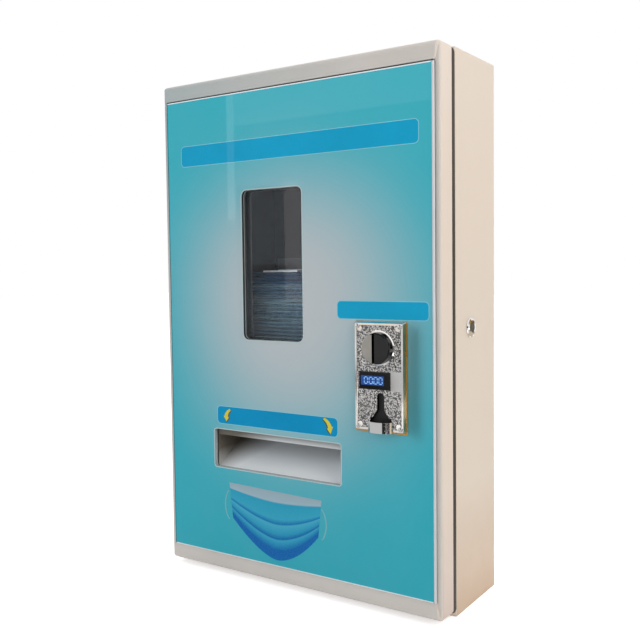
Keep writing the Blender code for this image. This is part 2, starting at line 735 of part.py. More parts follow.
def door_frame():
    """The door's ring: one section swept round the door, mitred where rails meet stiles."""
    middle = (DOOR_BOTTOM + DOOR_TOP) / 2
    loops = []
    for rail_inset, stile_inset, rail_depth, stile_depth in frame_section():
        across = max(FRAME_CORNER_RADIUS - stile_inset, FRAME_INNER_RADIUS)
        up = max(FRAME_CORNER_RADIUS - rail_inset, FRAME_INNER_RADIUS)
        half_width = DOOR_WIDTH / 2 - stile_inset - across
        half_height = DOOR_HEIGHT / 2 - rail_inset - up
        loop = []
        for quarter, (side, top) in enumerate(((1, -1), (1, 1), (-1, 1), (-1, -1))):
            for step in range(CORNER_STEPS + 1):
                share = step / CORNER_STEPS
                angle = math.pi / 2 * (quarter - 1 + share)
                on_stile = share if quarter % 2 == 0 else 1 - share
                depth = rail_depth + (stile_depth - rail_depth) * on_stile
                loop.append((side * half_width + across * math.cos(angle), FRONT_Y + depth,
                             middle + top * half_height + up * math.sin(angle)))
        loops.append(loop)
    mesh = bpy.data.meshes.new("door_frame")
    bm = bmesh.new()
    rings = [[bm.verts.new(point) for point in loop] for loop in loops]
    for ring, following in zip(rings, rings[1:] + rings[:1]):
        for i, vertex in enumerate(ring):
            j = (i + 1) % len(ring)
            bm.faces.new((vertex, ring[j], following[j], following[i]))
    bmesh.ops.recalc_face_normals(bm, faces=bm.faces)
    bm.to_mesh(mesh)
    bm.free()
    mesh.shade_smooth()
    mesh.set_sharp_from_angle(angle=math.radians(SMOOTH_ANGLE))
    return piece("door_frame", mesh, "frame_coat")


def window_outline(grow=0):
    """The window's outline in the door, larger by grow on each side."""
    low = (LEFT + WINDOW_LEFT - grow, DOOR_BOTTOM + WINDOW_SILL - grow)
    high = (LEFT + WINDOW_LEFT + WINDOW_WIDTH + grow, DOOR_BOTTOM + WINDOW_SILL + WINDOW_HEIGHT + grow)
    return rectangle(low, high, WINDOW_CORNER_RADIUS)


def exit_outline():
    """The mask exit's outline in the door."""
    low = (LEFT + EXIT_LEFT, DOOR_BOTTOM + EXIT_SILL)
    high = (LEFT + EXIT_LEFT + EXIT_WIDTH, DOOR_BOTTOM + EXIT_SILL + EXIT_HEIGHT)
    return rectangle(low, high, EXIT_CORNER_RADIUS)


def selector_hole_outline():
    """The hole in the door that the coin selector's body passes through."""
    half_width = SELECTOR_WIDTH / 2 - SELECTOR_HOLE_INSET
    half_height = SELECTOR_HEIGHT / 2 - SELECTOR_HOLE_INSET
    low = (SELECTOR_X - half_width, SELECTOR_Z - half_height)
    high = (SELECTOR_X + half_width, SELECTOR_Z + half_height)
    return rectangle(low, high)


def door_panel():
    """The steel panel that closes the ring, against the back of its rebate."""
    low = (LEFT + STILE_WIDTH - DOOR_PANEL_STILE_LAP, DOOR_BOTTOM + RAIL_HEIGHT - DOOR_PANEL_RAIL_LAP)
    high = (RIGHT - STILE_WIDTH + DOOR_PANEL_STILE_LAP, DOOR_TOP - RAIL_HEIGHT + DOOR_PANEL_RAIL_LAP)
    outlines = [rectangle(low, high), window_outline(), exit_outline(), selector_hole_outline()]
    return plate("door_panel", outlines, PANEL_FRONT_Y, DOOR_PANEL_THICKNESS, "Y", "white_sheet")


def front_panel():
    """The printed front panel with its polished edges, proud of the stiles."""
    low = (LEFT + STILE_WIDTH + CLEARANCE, DOOR_BOTTOM + RAIL_HEIGHT + CLEARANCE)
    high = (RIGHT - STILE_WIDTH - CLEARANCE, DOOR_TOP - RAIL_HEIGHT - CLEARANCE)
    outlines = [rectangle(low, high), window_outline(), exit_outline(), selector_hole_outline()]
    thickness = REBATE_DEPTH - FRONT_PANEL_SETBACK
    panel = plate("front_panel", outlines, GLASS_FRONT_Y, thickness, "Y", "front_print")
    bevel(panel, FRONT_PANEL_BEVEL, 1, PANEL_EDGE_ANGLE)
    return panel


def window_pane():
    """The clear pane behind the window."""
    outline = window_outline(PANE_LAP)
    return plate("window_pane", [outline], PANEL_REAR_Y + CLEARANCE, PANE_THICKNESS, "Y", "clear_pane")


def pane_retainer():
    """The deep frame that holds the pane against the steel panel."""
    front = PANEL_REAR_Y + CLEARANCE
    outer = window_outline(PANE_LAP + RETAINER_WALL)
    retainer = plate("pane_retainer", [outer, window_outline()], front, RETAINER_DEPTH, "Y", "black_plastic")
    depth = PANE_THICKNESS + CLEARANCE + OVERRUN
    pocket = plate("pane_pocket", [window_outline(PANE_LAP + CLEARANCE)], front - OVERRUN, depth, "Y")
    return cut(retainer, pocket)


def lock_catch():
    """The bent strip on the door that the cam holds: a foot behind the rear lip, an arm and a lip."""
    arm_left = CAM_RIGHT_X + CATCH_CLEARANCE
    arm_top = LOCK_Z - LOCK_BARREL_RADIUS - CATCH_BELOW_BARREL
    arm_base = arm_top - CATCH_HEIGHT
    front = DOOR_REAR_Y + CLEARANCE
    lip_y = LOCK_Y + CAM_WIDTH / 2 + CATCH_CLEARANCE
    foot_low = (arm_left, front, arm_base - (CATCH_FOOT_HEIGHT - CATCH_HEIGHT) / 2)
    foot_high = (arm_left + CATCH_FOOT, front + CATCH_SHEET, foot_low[2] + CATCH_FOOT_HEIGHT)
    catch = box("lock_catch", foot_low, foot_high, "inner_steel")
    arm = box("catch_arm", (arm_left, front, arm_base),
              (arm_left + CATCH_SHEET, lip_y + CATCH_SHEET, arm_top))
    lip = box("catch_lip", (arm_left - CATCH_LIP, lip_y, arm_base),
              (arm_left + CATCH_SHEET / 2, lip_y + CATCH_SHEET, arm_top))
    return join(catch, arm, lip)


def hinge_leaf(name, base, door_side):
    """One hinge leaf with its knuckles: the door's leaf has the odd knuckles, the cabinet's the even."""
    step = HINGE_HEIGHT / HINGE_KNUCKLE_COUNT
    clear = HINGE_X + HINGE_KNUCKLE_RADIUS + CLEARANCE
    front = DOOR_REAR_Y + CLEARANCE if door_side else BODY_FRONT_Y - CLEARANCE - HINGE_LEAF
    leaf = box(name, (clear, front, base),
               (clear + HINGE_LEAF_WIDTH - HINGE_KNUCKLE_RADIUS, front + HINGE_LEAF, base + HINGE_HEIGHT),
               "inner_steel")
    for number in range(HINGE_KNUCKLE_COUNT):
        if (number % 2 == 1) != door_side:
            continue
        low = base + number * step + (CLEARANCE / 2 if number else 0)
        last = number == HINGE_KNUCKLE_COUNT - 1
        high = base + (number + 1) * step - (0 if last else CLEARANCE / 2)
        tab_low = (HINGE_X, front, low)
        tab_high = (clear + HINGE_KNUCKLE_RADIUS, front + HINGE_LEAF, high)
        knuckle = cylinder(f"{name}_knuckle_{number}", HINGE_KNUCKLE_RADIUS, (HINGE_X, HINGE_Y, low),
                           high - low, "Z", steps=SMALL_ROUND_STEPS)
        join(leaf, box(f"{name}_tab_{number}", tab_low, tab_high), knuckle)
    bore = cylinder(name + "_bore", HINGE_PIN_RADIUS + CLEARANCE,
                    (HINGE_X, HINGE_Y, base - OVERRUN), HINGE_HEIGHT + 2 * OVERRUN, "Z", steps=PIN_STEPS)
    return cut(leaf, bore)


def hinge_pin(name, base):
    """A hinge pin with its head above the top knuckle."""
    profile = [
        (0, HINGE_HEIGHT + CLEARANCE + HINGE_PIN_HEAD),
        (HINGE_KNUCKLE_RADIUS - CLEARANCE, HINGE_HEIGHT + CLEARANCE + HINGE_PIN_HEAD),
        (HINGE_KNUCKLE_RADIUS - CLEARANCE, HINGE_HEIGHT + CLEARANCE),
        (HINGE_PIN_RADIUS, HINGE_HEIGHT + CLEARANCE),
        (HINGE_PIN_RADIUS, 0),
        (0, 0),
    ]
    return turned(name, profile, (HINGE_X, HINGE_Y, base), "Z", "inner_steel", steps=PIN_STEPS)


def lock_housing():
    """The cam lock's barrel and its domed cap outside the cabinet's right side."""
    rise = LOCK_CAP_RISE
    profile = [
        (LOCK_PLUG_RADIUS + CLEARANCE, rise),
        (LOCK_CAP_RADIUS * LOCK_DOME_SHARES[0], rise * LOCK_DOME_SHARES[1]),
        (LOCK_CAP_RADIUS * LOCK_DOME_SHARES[2], rise * LOCK_DOME_SHARES[3]),
        (LOCK_CAP_RADIUS, rise * LOCK_DOME_SHARES[4]),
        (LOCK_CAP_RADIUS, CLEARANCE),
        (LOCK_BARREL_RADIUS, CLEARANCE),
        (LOCK_BARREL_RADIUS, -SHEET - LOCK_BARREL_LENGTH),
        (LOCK_PLUG_RADIUS + CLEARANCE, -SHEET - LOCK_BARREL_LENGTH),
    ]
    return turned("lock_housing", profile, (RIGHT, LOCK_Y, LOCK_Z), "X", "chrome")


def lock_nut():
    """The hexagonal nut that holds the lock from inside."""
    start = RIGHT_INNER - CLEARANCE - LOCK_NUT_LENGTH
    nut = cylinder("lock_nut", LOCK_NUT_RADIUS, (start, LOCK_Y, LOCK_Z), LOCK_NUT_LENGTH, "X",
                   "inner_steel", HEX_STEPS)
    bore = cylinder("lock_nut_bore", LOCK_BARREL_RADIUS + CLEARANCE,
                    (start - OVERRUN, LOCK_Y, LOCK_Z), LOCK_NUT_LENGTH + 2 * OVERRUN, "X")
    return cut(nut, bore)


def lock_plug():
    """The turning plug with its key slot, long enough to carry the cam."""
    start = CAM_RIGHT_X - CAM_THICKNESS - CAM_GAP
    length = RIGHT + LOCK_CAP_RISE - start
    plug = cylinder("lock_plug", LOCK_PLUG_RADIUS, (start, LOCK_Y, LOCK_Z), length, "X", "chrome",
                    SMALL_ROUND_STEPS)
    face = RIGHT + LOCK_CAP_RISE
    slot = box("key_slot", (face - KEY_SLOT_DEPTH, LOCK_Y - KEY_SLOT_LENGTH / 2, LOCK_Z - KEY_SLOT_WIDTH / 2),
               (face + OVERRUN, LOCK_Y + KEY_SLOT_LENGTH / 2, LOCK_Z + KEY_SLOT_WIDTH / 2))
    return cut(plug, slot)


def lock_cam():
    """The cam: a strip with a round end, pointing at the door while the lock is open."""
    half = CAM_WIDTH / 2
    outline = []
    for step in range(HALF_ROUND_STEPS, -1, -1):
        angle = math.pi * step / HALF_ROUND_STEPS
        outline.append((LOCK_Y + half * math.sin(angle), LOCK_Z + half * math.cos(angle)))
    outline += [(LOCK_Y - CAM_REACH, LOCK_Z + half), (LOCK_Y - CAM_REACH, LOCK_Z - half)]
    start = CAM_RIGHT_X - CAM_THICKNESS
    bore = circle((LOCK_Y, LOCK_Z), LOCK_PLUG_RADIUS + CLEARANCE, BORE_STEPS)
    return plate("lock_cam", [outline, bore], start, CAM_THICKNESS, "X", "inner_steel")


def coin_faceplate():
    """The selector's cast face: bevelled plate, rim, textured field, bosses, entry ring and return cup."""
    half_width = SELECTOR_WIDTH / 2
    half_height = SELECTOR_HEIGHT / 2
    low = (SELECTOR_X - half_width, SELECTOR_Z - half_height)
    high = (SELECTOR_X + half_width, SELECTOR_Z + half_height)
    plate_body = plate("coin_faceplate", [rectangle(low, high, SELECTOR_CORNER_RADIUS)],
                       PLATE_FRONT_Y, SELECTOR_THICKNESS, "Y", "chrome")
    mesh = plate_body.data
    for vertex in mesh.vertices:
        if vertex.co.z > 0:
            vertex.co.x -= math.copysign(SELECTOR_BEVEL, vertex.co.x - SELECTOR_X)
            vertex.co.y -= math.copysign(SELECTOR_BEVEL, vertex.co.y - SELECTOR_Z)
    inset = SELECTOR_BEVEL + SELECTOR_RIM
    field = rectangle((low[0] + inset, low[1] + inset), (high[0] - inset, high[1] - inset))
    cut(plate_body, plate("field_recess", [field], PLATE_FRONT_Y - OVERRUN,
                          OVERRUN + SELECTOR_FIELD_DEPTH, "Y"))
    sunk = SELECTOR_FIELD_DEPTH
    for across in (-1, 1):
        for up in (-1, 1):
            x = SELECTOR_X + across * (half_width - BOSS_FROM_EDGE)
            z = SELECTOR_Z + up * (half_height - BOSS_FROM_EDGE)
            front = FIELD_Y - BOSS_RISE
            boss = cylinder(f"boss_{across}_{up}", BOSS_RADIUS * BOSS_TOP_SHARE, (x, front, z),
                            BOSS_RISE + sunk, "Y", steps=SMALL_ROUND_STEPS, top_radius=BOSS_RADIUS)
            join(plate_body, boss)
    ring_front = FIELD_Y - ENTRY_RING_RISE
    inner = ENTRY_RADIUS + CLEARANCE
    ring = turned("entry_ring", [
        (inner, ENTRY_RING_RISE + sunk),
        (ENTRY_RING_RADIUS, ENTRY_RING_RISE + sunk),
        (ENTRY_RING_RADIUS, ENTRY_RING_BEVEL),
        (ENTRY_RING_RADIUS - ENTRY_RING_BEVEL, 0),
        (inner, 0),
    ], (SELECTOR_X, ring_front, ENTRY_Z), "Y")
    join(plate_body, ring)
    entry_hole = cylinder("entry_hole", inner, (SELECTOR_X, ring_front - OVERRUN, ENTRY_Z),
                          PLATE_REAR_Y - ring_front + 2 * OVERRUN, "Y")
    cup_x = SELECTOR_X + RETURN_RIGHT_OF_CENTRE
    cup_base = low[1] + CUP_ABOVE_EDGE
    cup_reach = PLATE_FRONT_Y - (WALL_Y - CASE_DEPTH - FRONT_REACH)
    join(plate_body, cup_shell("return_cup", cup_x, cup_base, CUP_WIDTH / 2, cup_reach, CUP_HEIGHT))
    hollow = cup_shell("cup_hollow", cup_x, cup_base + CUP_WALL, CUP_WIDTH / 2 - CUP_WALL,
                       cup_reach - CUP_WALL, CUP_HEIGHT + OVERRUN)
    cut(plate_body, entry_hole, display_pocket(), hollow, return_slot(cup_x, cup_base))
    notch = cylinder("edge_notch", NOTCH_RADIUS, (high[0], PLATE_FRONT_Y - OVERRUN,
                     SELECTOR_Z + NOTCH_ABOVE_CENTRE), SELECTOR_THICKNESS + 2 * OVERRUN, "Y", steps=PIN_STEPS)
    return cut(plate_body, notch)


def cup_shell(name, x, base, half_width, reach, height):
    """Half of an upright elliptic cylinder that stands out from the face plate."""
    inner_y = FIELD_Y + SELECTOR_FIELD_DEPTH
    outline = []
    for step in range(CUP_STEPS + 1):
        angle = math.pi * (1 + step / CUP_STEPS)
        outline.append((x + half_width * math.cos(angle), PLATE_FRONT_Y + reach * math.sin(angle)))
    outline += [(x + half_width, inner_y), (x - half_width, inner_y)]
    return plate(name, [outline], base, height, "Z")


def display_pocket():
    """The cutter of the display's seat in the face plate."""
    x = SELECTOR_X - DISPLAY_LEFT_OF_CENTRE
    z = SELECTOR_Z - DISPLAY_BELOW_CENTRE
    half_width = DISPLAY_WIDTH / 2 + CLEARANCE
    half_height = DISPLAY_HEIGHT / 2 + CLEARANCE
    return box("display_pocket", (x - half_width, FIELD_Y - OVERRUN, z - half_height),
               (x + half_width, FIELD_Y - DISPLAY_PROUD + DISPLAY_DEPTH + CLEARANCE, z + half_height))


def return_slot(x, cup_base):
    """The cutter of the return slot: round at the top and flared towards the cup."""
    top = SELECTOR_Z - RETURN_SLOT_TOP_BELOW
    half = RETURN_SLOT_WIDTH / 2
    flare = CUP_WIDTH / 2 - CUP_WALL
    rim = cup_base + CUP_HEIGHT
    outline = []
    for step in range(HALF_ROUND_STEPS + 1):
        angle = math.pi * step / HALF_ROUND_STEPS
        outline.append((x + half * math.cos(angle), top - half + half * math.sin(angle)))
    outline += [(x - half, rim + CUP_MOUTH_RISE), (x - flare, rim), (x - flare, cup_base + CUP_WALL),
                (x + flare, cup_base + CUP_WALL), (x + flare, rim), (x + half, rim + CUP_MOUTH_RISE)]
    return plate("return_slot", [outline], PLATE_FRONT_Y - OVERRUN, SELECTOR_THICKNESS + 2 * OVERRUN, "Y")


def entry_half(name, side, rear, slot):
    """One half-moon of the round coin entry, left (-1) or right (1) of the coin slot."""
    edge = SLOT_X + side * SLOT_WIDTH / 2
    knob = cylinder(name, ENTRY_RADIUS, (SELECTOR_X, ENTRY_FRONT_Y, ENTRY_Z), rear - ENTRY_FRONT_Y,
                    "Y", slot)
    bevel(knob, ENTRY_EDGE_ROUND, 2)
    far = SELECTOR_X - side * (ENTRY_RADIUS + OVERRUN)
    low = (min(edge, far), ENTRY_FRONT_Y - OVERRUN, ENTRY_Z - ENTRY_RADIUS - OVERRUN)
    high = (max(edge, far), rear + OVERRUN, ENTRY_Z + ENTRY_RADIUS + OVERRUN)
    return cut(knob, box(name + "_other_half", low, high))


def display_module():
    """The display's black housing with a sunk lit window."""
    x = SELECTOR_X - DISPLAY_LEFT_OF_CENTRE
    z = SELECTOR_Z - DISPLAY_BELOW_CENTRE
    front = FIELD_Y - DISPLAY_PROUD
    housing = box("display_module", (x - DISPLAY_WIDTH / 2, front, z - DISPLAY_HEIGHT / 2),
                  (x + DISPLAY_WIDTH / 2, front + DISPLAY_DEPTH, z + DISPLAY_HEIGHT / 2), "black_gloss",
                  rounded=DISPLAY_PROUD / 2, segments=1)
    left = x - DISPLAY_WIDTH / 2 + DISPLAY_BORDER
    recess = box("display_recess", (left, front - OVERRUN, z - DISPLAY_LIT_HEIGHT / 2),
                 (left + DISPLAY_LIT_WIDTH, front + DISPLAY_SUNK, z + DISPLAY_LIT_HEIGHT / 2))
    return cut(housing, recess)


def selector_body():
    """The selector's housing behind the door, with ribs, a stepped rear, a button pocket and sockets."""
    half_width = SELECTOR_WIDTH / 2 - SELECTOR_HOLE_INSET - BODY_EDGE_ROOM
    half_height = SELECTOR_HEIGHT / 2 - SELECTOR_HOLE_INSET - BODY_EDGE_ROOM
    front = PLATE_REAR_Y + CLEARANCE
    base = SELECTOR_Z - half_height
    top = SELECTOR_Z + half_height
    housing = box("selector_body", (SELECTOR_X - half_width, front, base),
                  (SELECTOR_X + half_width, front + SELECTOR_BODY_STEP, top), "black_plastic",
                  rounded=SELECTOR_EDGE_ROUND)
    narrow = half_width - SELECTOR_STEP_NARROW / 2
    rear = box("selector_rear", (SELECTOR_X - narrow, front + SELECTOR_BODY_STEP - OVERRUN, base),
               (SELECTOR_X + narrow, front + SELECTOR_BODY_DEPTH, top - 2 * SELECTOR_STEP_NARROW))
    join(housing, rear)
    pitch = 2 * half_height / (SELECTOR_RIB_COUNT + 1)
    for number in range(SELECTOR_RIB_COUNT):
        z = base + (number + 1) * pitch
        join(housing, box(f"selector_rib_{number}",
                          (SELECTOR_X - half_width - SELECTOR_RIB, front + SELECTOR_BODY_STEP / 2, z),
                          (SELECTOR_X - half_width + SELECTOR_RIB,
                           front + SELECTOR_BODY_STEP - SELECTOR_EDGE_ROUND, z + SELECTOR_RIB)))
    socket_z = SELECTOR_Z - SOCKET_HEIGHT
    join(housing, box("selector_socket",
                      (SELECTOR_X - SOCKET_WIDTH / 2, front + SELECTOR_BODY_DEPTH - OVERRUN, socket_z),
                      (SELECTOR_X + SOCKET_WIDTH / 2, front + SELECTOR_BODY_DEPTH + SOCKET_LENGTH,
                       socket_z + SOCKET_HEIGHT)))
    pocket_depth = BUTTON_TRAVEL + BUTTON_SHAFT_ROOM
    pocket = cylinder("button_pocket", ENTRY_RADIUS + CLEARANCE, (SELECTOR_X, front - OVERRUN, ENTRY_Z),
                      pocket_depth + OVERRUN, "Y")
    outlet_half = CHUTE_THROAT / 2
    outlet_y = front + SELECTOR_BODY_STEP / 2
    outlet = box("coin_outlet",
                 (SELECTOR_X - CHUTE_WIDTH / 2 + CHUTE_SHEET, outlet_y - outlet_half, base - OVERRUN),
                 (SELECTOR_X + CHUTE_WIDTH / 2 - CHUTE_SHEET, outlet_y + outlet_half, base + CHUTE_THROAT))
    return cut(housing, pocket, outlet)


def coin_chute():
    """The leaning sheet chute that leads coins from the selector down to the coin box."""
    front = PLATE_REAR_Y + CLEARANCE + SELECTOR_BODY_STEP / 2
    top = SELECTOR_Z - SELECTOR_HEIGHT / 2 + SELECTOR_HOLE_INSET + BODY_EDGE_ROOM - CLEARANCE
    half = CHUTE_THROAT / 2 + CHUTE_SHEET

    def outline(thickness, over):
        reach = half - thickness
        return [(front - reach, top + over), (front + CHUTE_LEAN - reach, top - CHUTE_DROP - over),
                (front + CHUTE_LEAN + reach, top - CHUTE_DROP - over), (front + reach, top + over)]

    start = SELECTOR_X - CHUTE_WIDTH / 2
    chute = plate("coin_chute", [outline(0, 0)], start, CHUTE_WIDTH, "X", "inner_steel")
    return cut(chute, plate("chute_bore", [outline(CHUTE_SHEET, OVERRUN)], start + CHUTE_SHEET,
                            CHUTE_WIDTH - 2 * CHUTE_SHEET, "X"))


def coin_box():
    """The loose coin box: a tapered open tray with a grip at its front."""
    right = RIGHT_INNER - COIN_BOX_FROM_RIGHT
    rear = BACK_INNER_Y - COIN_BOX_FROM_WALL
    base = SHEET + CLEARANCE
    middle = ((right - COIN_BOX_WIDTH / 2), (rear - COIN_BOX_DEPTH / 2))
    coins = tapered_box("coin_box", middle, COIN_BOX_WIDTH, COIN_BOX_DEPTH, base, COIN_BOX_HEIGHT,
                        COIN_BOX_TAPER_SHARE, "white_sheet")
    hollow = tapered_box("coin_box_hollow", middle, COIN_BOX_WIDTH - 2 * COIN_BOX_WALL,
                         COIN_BOX_DEPTH - 2 * COIN_BOX_WALL, base + COIN_BOX_WALL, COIN_BOX_HEIGHT,
                         COIN_BOX_TAPER_SHARE)
    front = rear - COIN_BOX_DEPTH
    top = base + COIN_BOX_HEIGHT
    grip = box("coin_box_grip", (middle[0] - COIN_BOX_GRIP_WIDTH / 2, front - COIN_BOX_GRIP_REACH,
                                 top - COIN_BOX_GRIP_HEIGHT),
               (middle[0] + COIN_BOX_GRIP_WIDTH / 2, front + COIN_BOX_WALL, top))
    return cut(join(coins, grip), hollow)


def tapered_box(name, middle, width, depth, base, height, taper_share, slot=None):
    """A box whose base is smaller than its top by a share."""
    mesh = bpy.data.meshes.new(name)
    bm = bmesh.new()
    bmesh.ops.create_cube(bm, size=1)
    bmesh.ops.scale(bm, vec=(width, depth, height), verts=bm.verts)
    lower = [vertex for vertex in bm.verts if vertex.co.z < 0]
    bmesh.ops.scale(bm, vec=(taper_share, taper_share, 1), verts=lower)
    bm.to_mesh(mesh)
    bm.free()
    return piece(name, mesh, slot, (middle[0], middle[1], base + height / 2))


def exit_tray():
    """The tray that masks slide down to the exit: sloping floor, sides and a hood over the mouth."""
    front = PANEL_REAR_Y + CLEARANCE
    rear = front + TRAY_DEPTH
    sill = DOOR_BOTTOM + EXIT_SILL - TRAY_SILL_DROP
    head = DOOR_BOTTOM + EXIT_SILL + EXIT_HEIGHT + TRAY_HEAD_RISE
    rear_sill = sill + TRAY_REAR_RISE - TRAY_REAR_WALL
    rear_head = sill + TRAY_REAR_RISE
    start = MASK_X - CHEEK_INNER + CLEARANCE
    width = 2 * (CHEEK_INNER - CLEARANCE)
    outer = [(front, sill), (rear, rear_sill), (rear, rear_head), (front, head)]
    tray = plate("exit_tray", [outer], start, width, "X", "white_sheet")
    slope = (rear_sill - sill) / TRAY_DEPTH
    inner = [(front - OVERRUN, sill + TRAY_SHEET - OVERRUN * slope),
             (rear + OVERRUN, rear_sill + TRAY_SHEET + OVERRUN * slope),
             (rear + OVERRUN, rear_head + TRAY_DEPTH), (front - OVERRUN, rear_head + TRAY_DEPTH)]
    cut(tray, plate("tray_hollow", [inner], start + TRAY_SHEET, width - 2 * TRAY_SHEET, "X"))
    hood_base = DOOR_BOTTOM + EXIT_SILL + EXIT_HEIGHT - HOOD_DROP
    hood = box("tray_hood", (start + TRAY_SHEET / 2, front, hood_base),
               (start + width - TRAY_SHEET / 2, front + TRAY_SHEET, head))
    hood_return = box("tray_hood_return", (start + TRAY_SHEET / 2, front, head - TRAY_SHEET),
                      (start + width - TRAY_SHEET / 2, front + HOOD_RETURN, head))
    return join(tray, hood, hood_return)


def dispenser_base():
    """The base under the magazine: floor with roller slots, two cheeks and feet on the back."""
    outer = CHEEK_X - MASK_X
    front = MAGAZINE_FRONT_Y
    base = FLOOR_Z - BASE_CHEEK_HEIGHT
    body = box("dispenser_base", (MASK_X - outer, front, base), (MASK_X + outer, BACK_INNER_Y - CLEARANCE,
                                                                 FLOOR_Z), "inner_steel")
    inside = box("base_inside", (MASK_X - CHEEK_INNER, front - OVERRUN, base - OVERRUN),
                 (MASK_X + CHEEK_INNER, WALL_Y, FLOOR_Z - BASE_SHEET))
    cut(body, inside)
    for side in (-1, 1):
        root = MASK_X + side * (outer - BASE_SHEET / 2)
        tip = MASK_X + side * (outer + BASE_FOOT)
        foot = box(f"base_foot_{side}",
                   (min(root, tip), BACK_INNER_Y - CLEARANCE - BASE_SHEET, FLOOR_Z - BASE_FOOT_HEIGHT),
                   (max(root, tip), BACK_INNER_Y - CLEARANCE, FLOOR_Z))
        join(body, foot)
        x = MASK_X + side * ROLLER_SPREAD / 2
        half_slot = math.sqrt(ROLLER_RADIUS ** 2 - (ROLLER_RADIUS - ROLLER_PROUD - BASE_SHEET) ** 2)
        reach = half_slot + SLOT_ROOM
        cut(body, box(f"roller_slot_{side}",
                      (x - ROLLER_WIDTH / 2 - SLOT_ROOM, SHAFT_Y - reach, FLOOR_Z - BASE_SHEET - OVERRUN),
                      (x + ROLLER_WIDTH / 2 + SLOT_ROOM, SHAFT_Y + reach, FLOOR_Z + OVERRUN)))
    bore = cylinder("base_bush_bore", BUSH_RADIUS + CLEARANCE, (MASK_X - outer - OVERRUN, SHAFT_Y, SHAFT_Z),
                    2 * (outer + OVERRUN), "X")
    return cut(body, bore)


def magazine():
    """The folded channel that keeps the packs in line: back, sides, front lips and top flanges."""
    base = FLOOR_Z + CLEARANCE
    outer = MAGAZINE_HALF
    inner = outer - MAGAZINE_SHEET
    rear = MAGAZINE_REAR_Y
    inner_front = MAGAZINE_FRONT_Y + MAGAZINE_SHEET
    outline = [
        (MASK_X - outer + MAGAZINE_LIP, MAGAZINE_FRONT_Y), (MASK_X - outer + MAGAZINE_LIP, inner_front),
        (MASK_X - inner, inner_front), (MASK_X - inner, rear - MAGAZINE_SHEET),
        (MASK_X + inner, rear - MAGAZINE_SHEET), (MASK_X + inner, inner_front),
        (MASK_X + outer - MAGAZINE_LIP, inner_front), (MASK_X + outer - MAGAZINE_LIP, MAGAZINE_FRONT_Y),
        (MASK_X + outer, MAGAZINE_FRONT_Y), (MASK_X + outer, rear), (MASK_X - outer, rear),
        (MASK_X - outer, MAGAZINE_FRONT_Y),
    ]
    channel = plate("magazine", [outline], base, MAGAZINE_HEIGHT, "Z", "inner_steel")
    for side in (-1, 1):
        edge = MASK_X + side * outer
        lip_in = MASK_X + side * (outer - MAGAZINE_LIP - OVERRUN)
        gap = box(f"pack_gap_{side}", (min(edge, lip_in) - OVERRUN, MAGAZINE_FRONT_Y - OVERRUN, base - OVERRUN),
                  (max(edge, lip_in) + OVERRUN, inner_front + CLEARANCE, base + MAGAZINE_PACK_GAP))
        cut(channel, gap)
    for number, z in enumerate((base + MAGAZINE_FLANGE, base + MAGAZINE_HEIGHT - 2 * MAGAZINE_FLANGE)):
        mount = box(f"magazine_mount_{number}",
                    (MASK_X - outer / 2, rear - MAGAZINE_SHEET / 2, z),
                    (MASK_X + outer / 2, BACK_INNER_Y - CLEARANCE, z + MAGAZINE_FLANGE))
        join(channel, mount)
    return channel


def mask_stack():
    """The stack of packed masks in the magazine."""
    return box("mask_stack", (MASK_X - PACK_WIDTH / 2, PACK_FRONT_Y, STACK_Z),
               (MASK_X + PACK_WIDTH / 2, PACK_REAR_Y, STACK_TOP), "mask_pack",
               rounded=STACK_EDGE_ROUND, segments=2)


def follower_weight():
    """The plate and weight that press the packs down, with a lip at the plate's front."""
    base = STACK_TOP + CLEARANCE
    half = FOLLOWER_WIDTH / 2
    x = MASK_X - FOLLOWER_LEFT_OF_CENTRE
    body = box("follower_weight", (x - half, PACK_FRONT_Y, base),
               (x + half, PACK_FRONT_Y + FOLLOWER_DEPTH, base + FOLLOWER_PLATE), "inner_steel")
    middle = PACK_FRONT_Y + FOLLOWER_DEPTH / 2
    block = box("follower_block",
                (x - FOLLOWER_BLOCK_WIDTH / 2, middle - FOLLOWER_BLOCK_DEPTH / 2, base + FOLLOWER_PLATE / 2),
                (x + FOLLOWER_BLOCK_WIDTH / 2, middle + FOLLOWER_BLOCK_DEPTH / 2,
                 base + FOLLOWER_PLATE + FOLLOWER_BLOCK_HEIGHT), rounded=FOLLOWER_PLATE / 2, segments=1)
    return join(body, block)


def involute_angle(base_radius, radius):
    """The involute of the pressure angle at this radius."""
    angle = math.acos(min(1, base_radius / radius))
    return math.tan(angle) - angle


def gear_outline(centre, teeth, phase):
    """An involute gear's outline, with the middle of one tooth at the phase angle."""
    pitch_radius = GEAR_MODULE * teeth / 2
    base_radius = pitch_radius * math.cos(PRESSURE_ANGLE)
    tip_radius = pitch_radius + GEAR_MODULE
    root_radius = pitch_radius - ROOT_SHARE * GEAR_MODULE
    half_tooth = (math.pi * GEAR_MODULE / 2 - GEAR_BACKLASH) / (2 * pitch_radius)
    half_base = half_tooth + involute_angle(base_radius, pitch_radius)
    start = max(base_radius, root_radius)
    flank = []
    for step in range(FLANK_STEPS + 1):
        radius = start + (tip_radius - start) * step / FLANK_STEPS
        flank.append((radius, half_base - involute_angle(base_radius, radius)))
    if root_radius < base_radius:
        flank.insert(0, (root_radius, half_base))
    points = []
    for tooth in range(teeth):
        middle = phase + 2 * math.pi * tooth / teeth
        for radius, half in flank:
            points.append((radius, middle - half))
        for radius, half in reversed(flank):
            points.append((radius, middle + half))
    return [(centre[0] + radius * math.cos(angle), centre[1] + radius * math.sin(angle))
            for radius, angle in points]


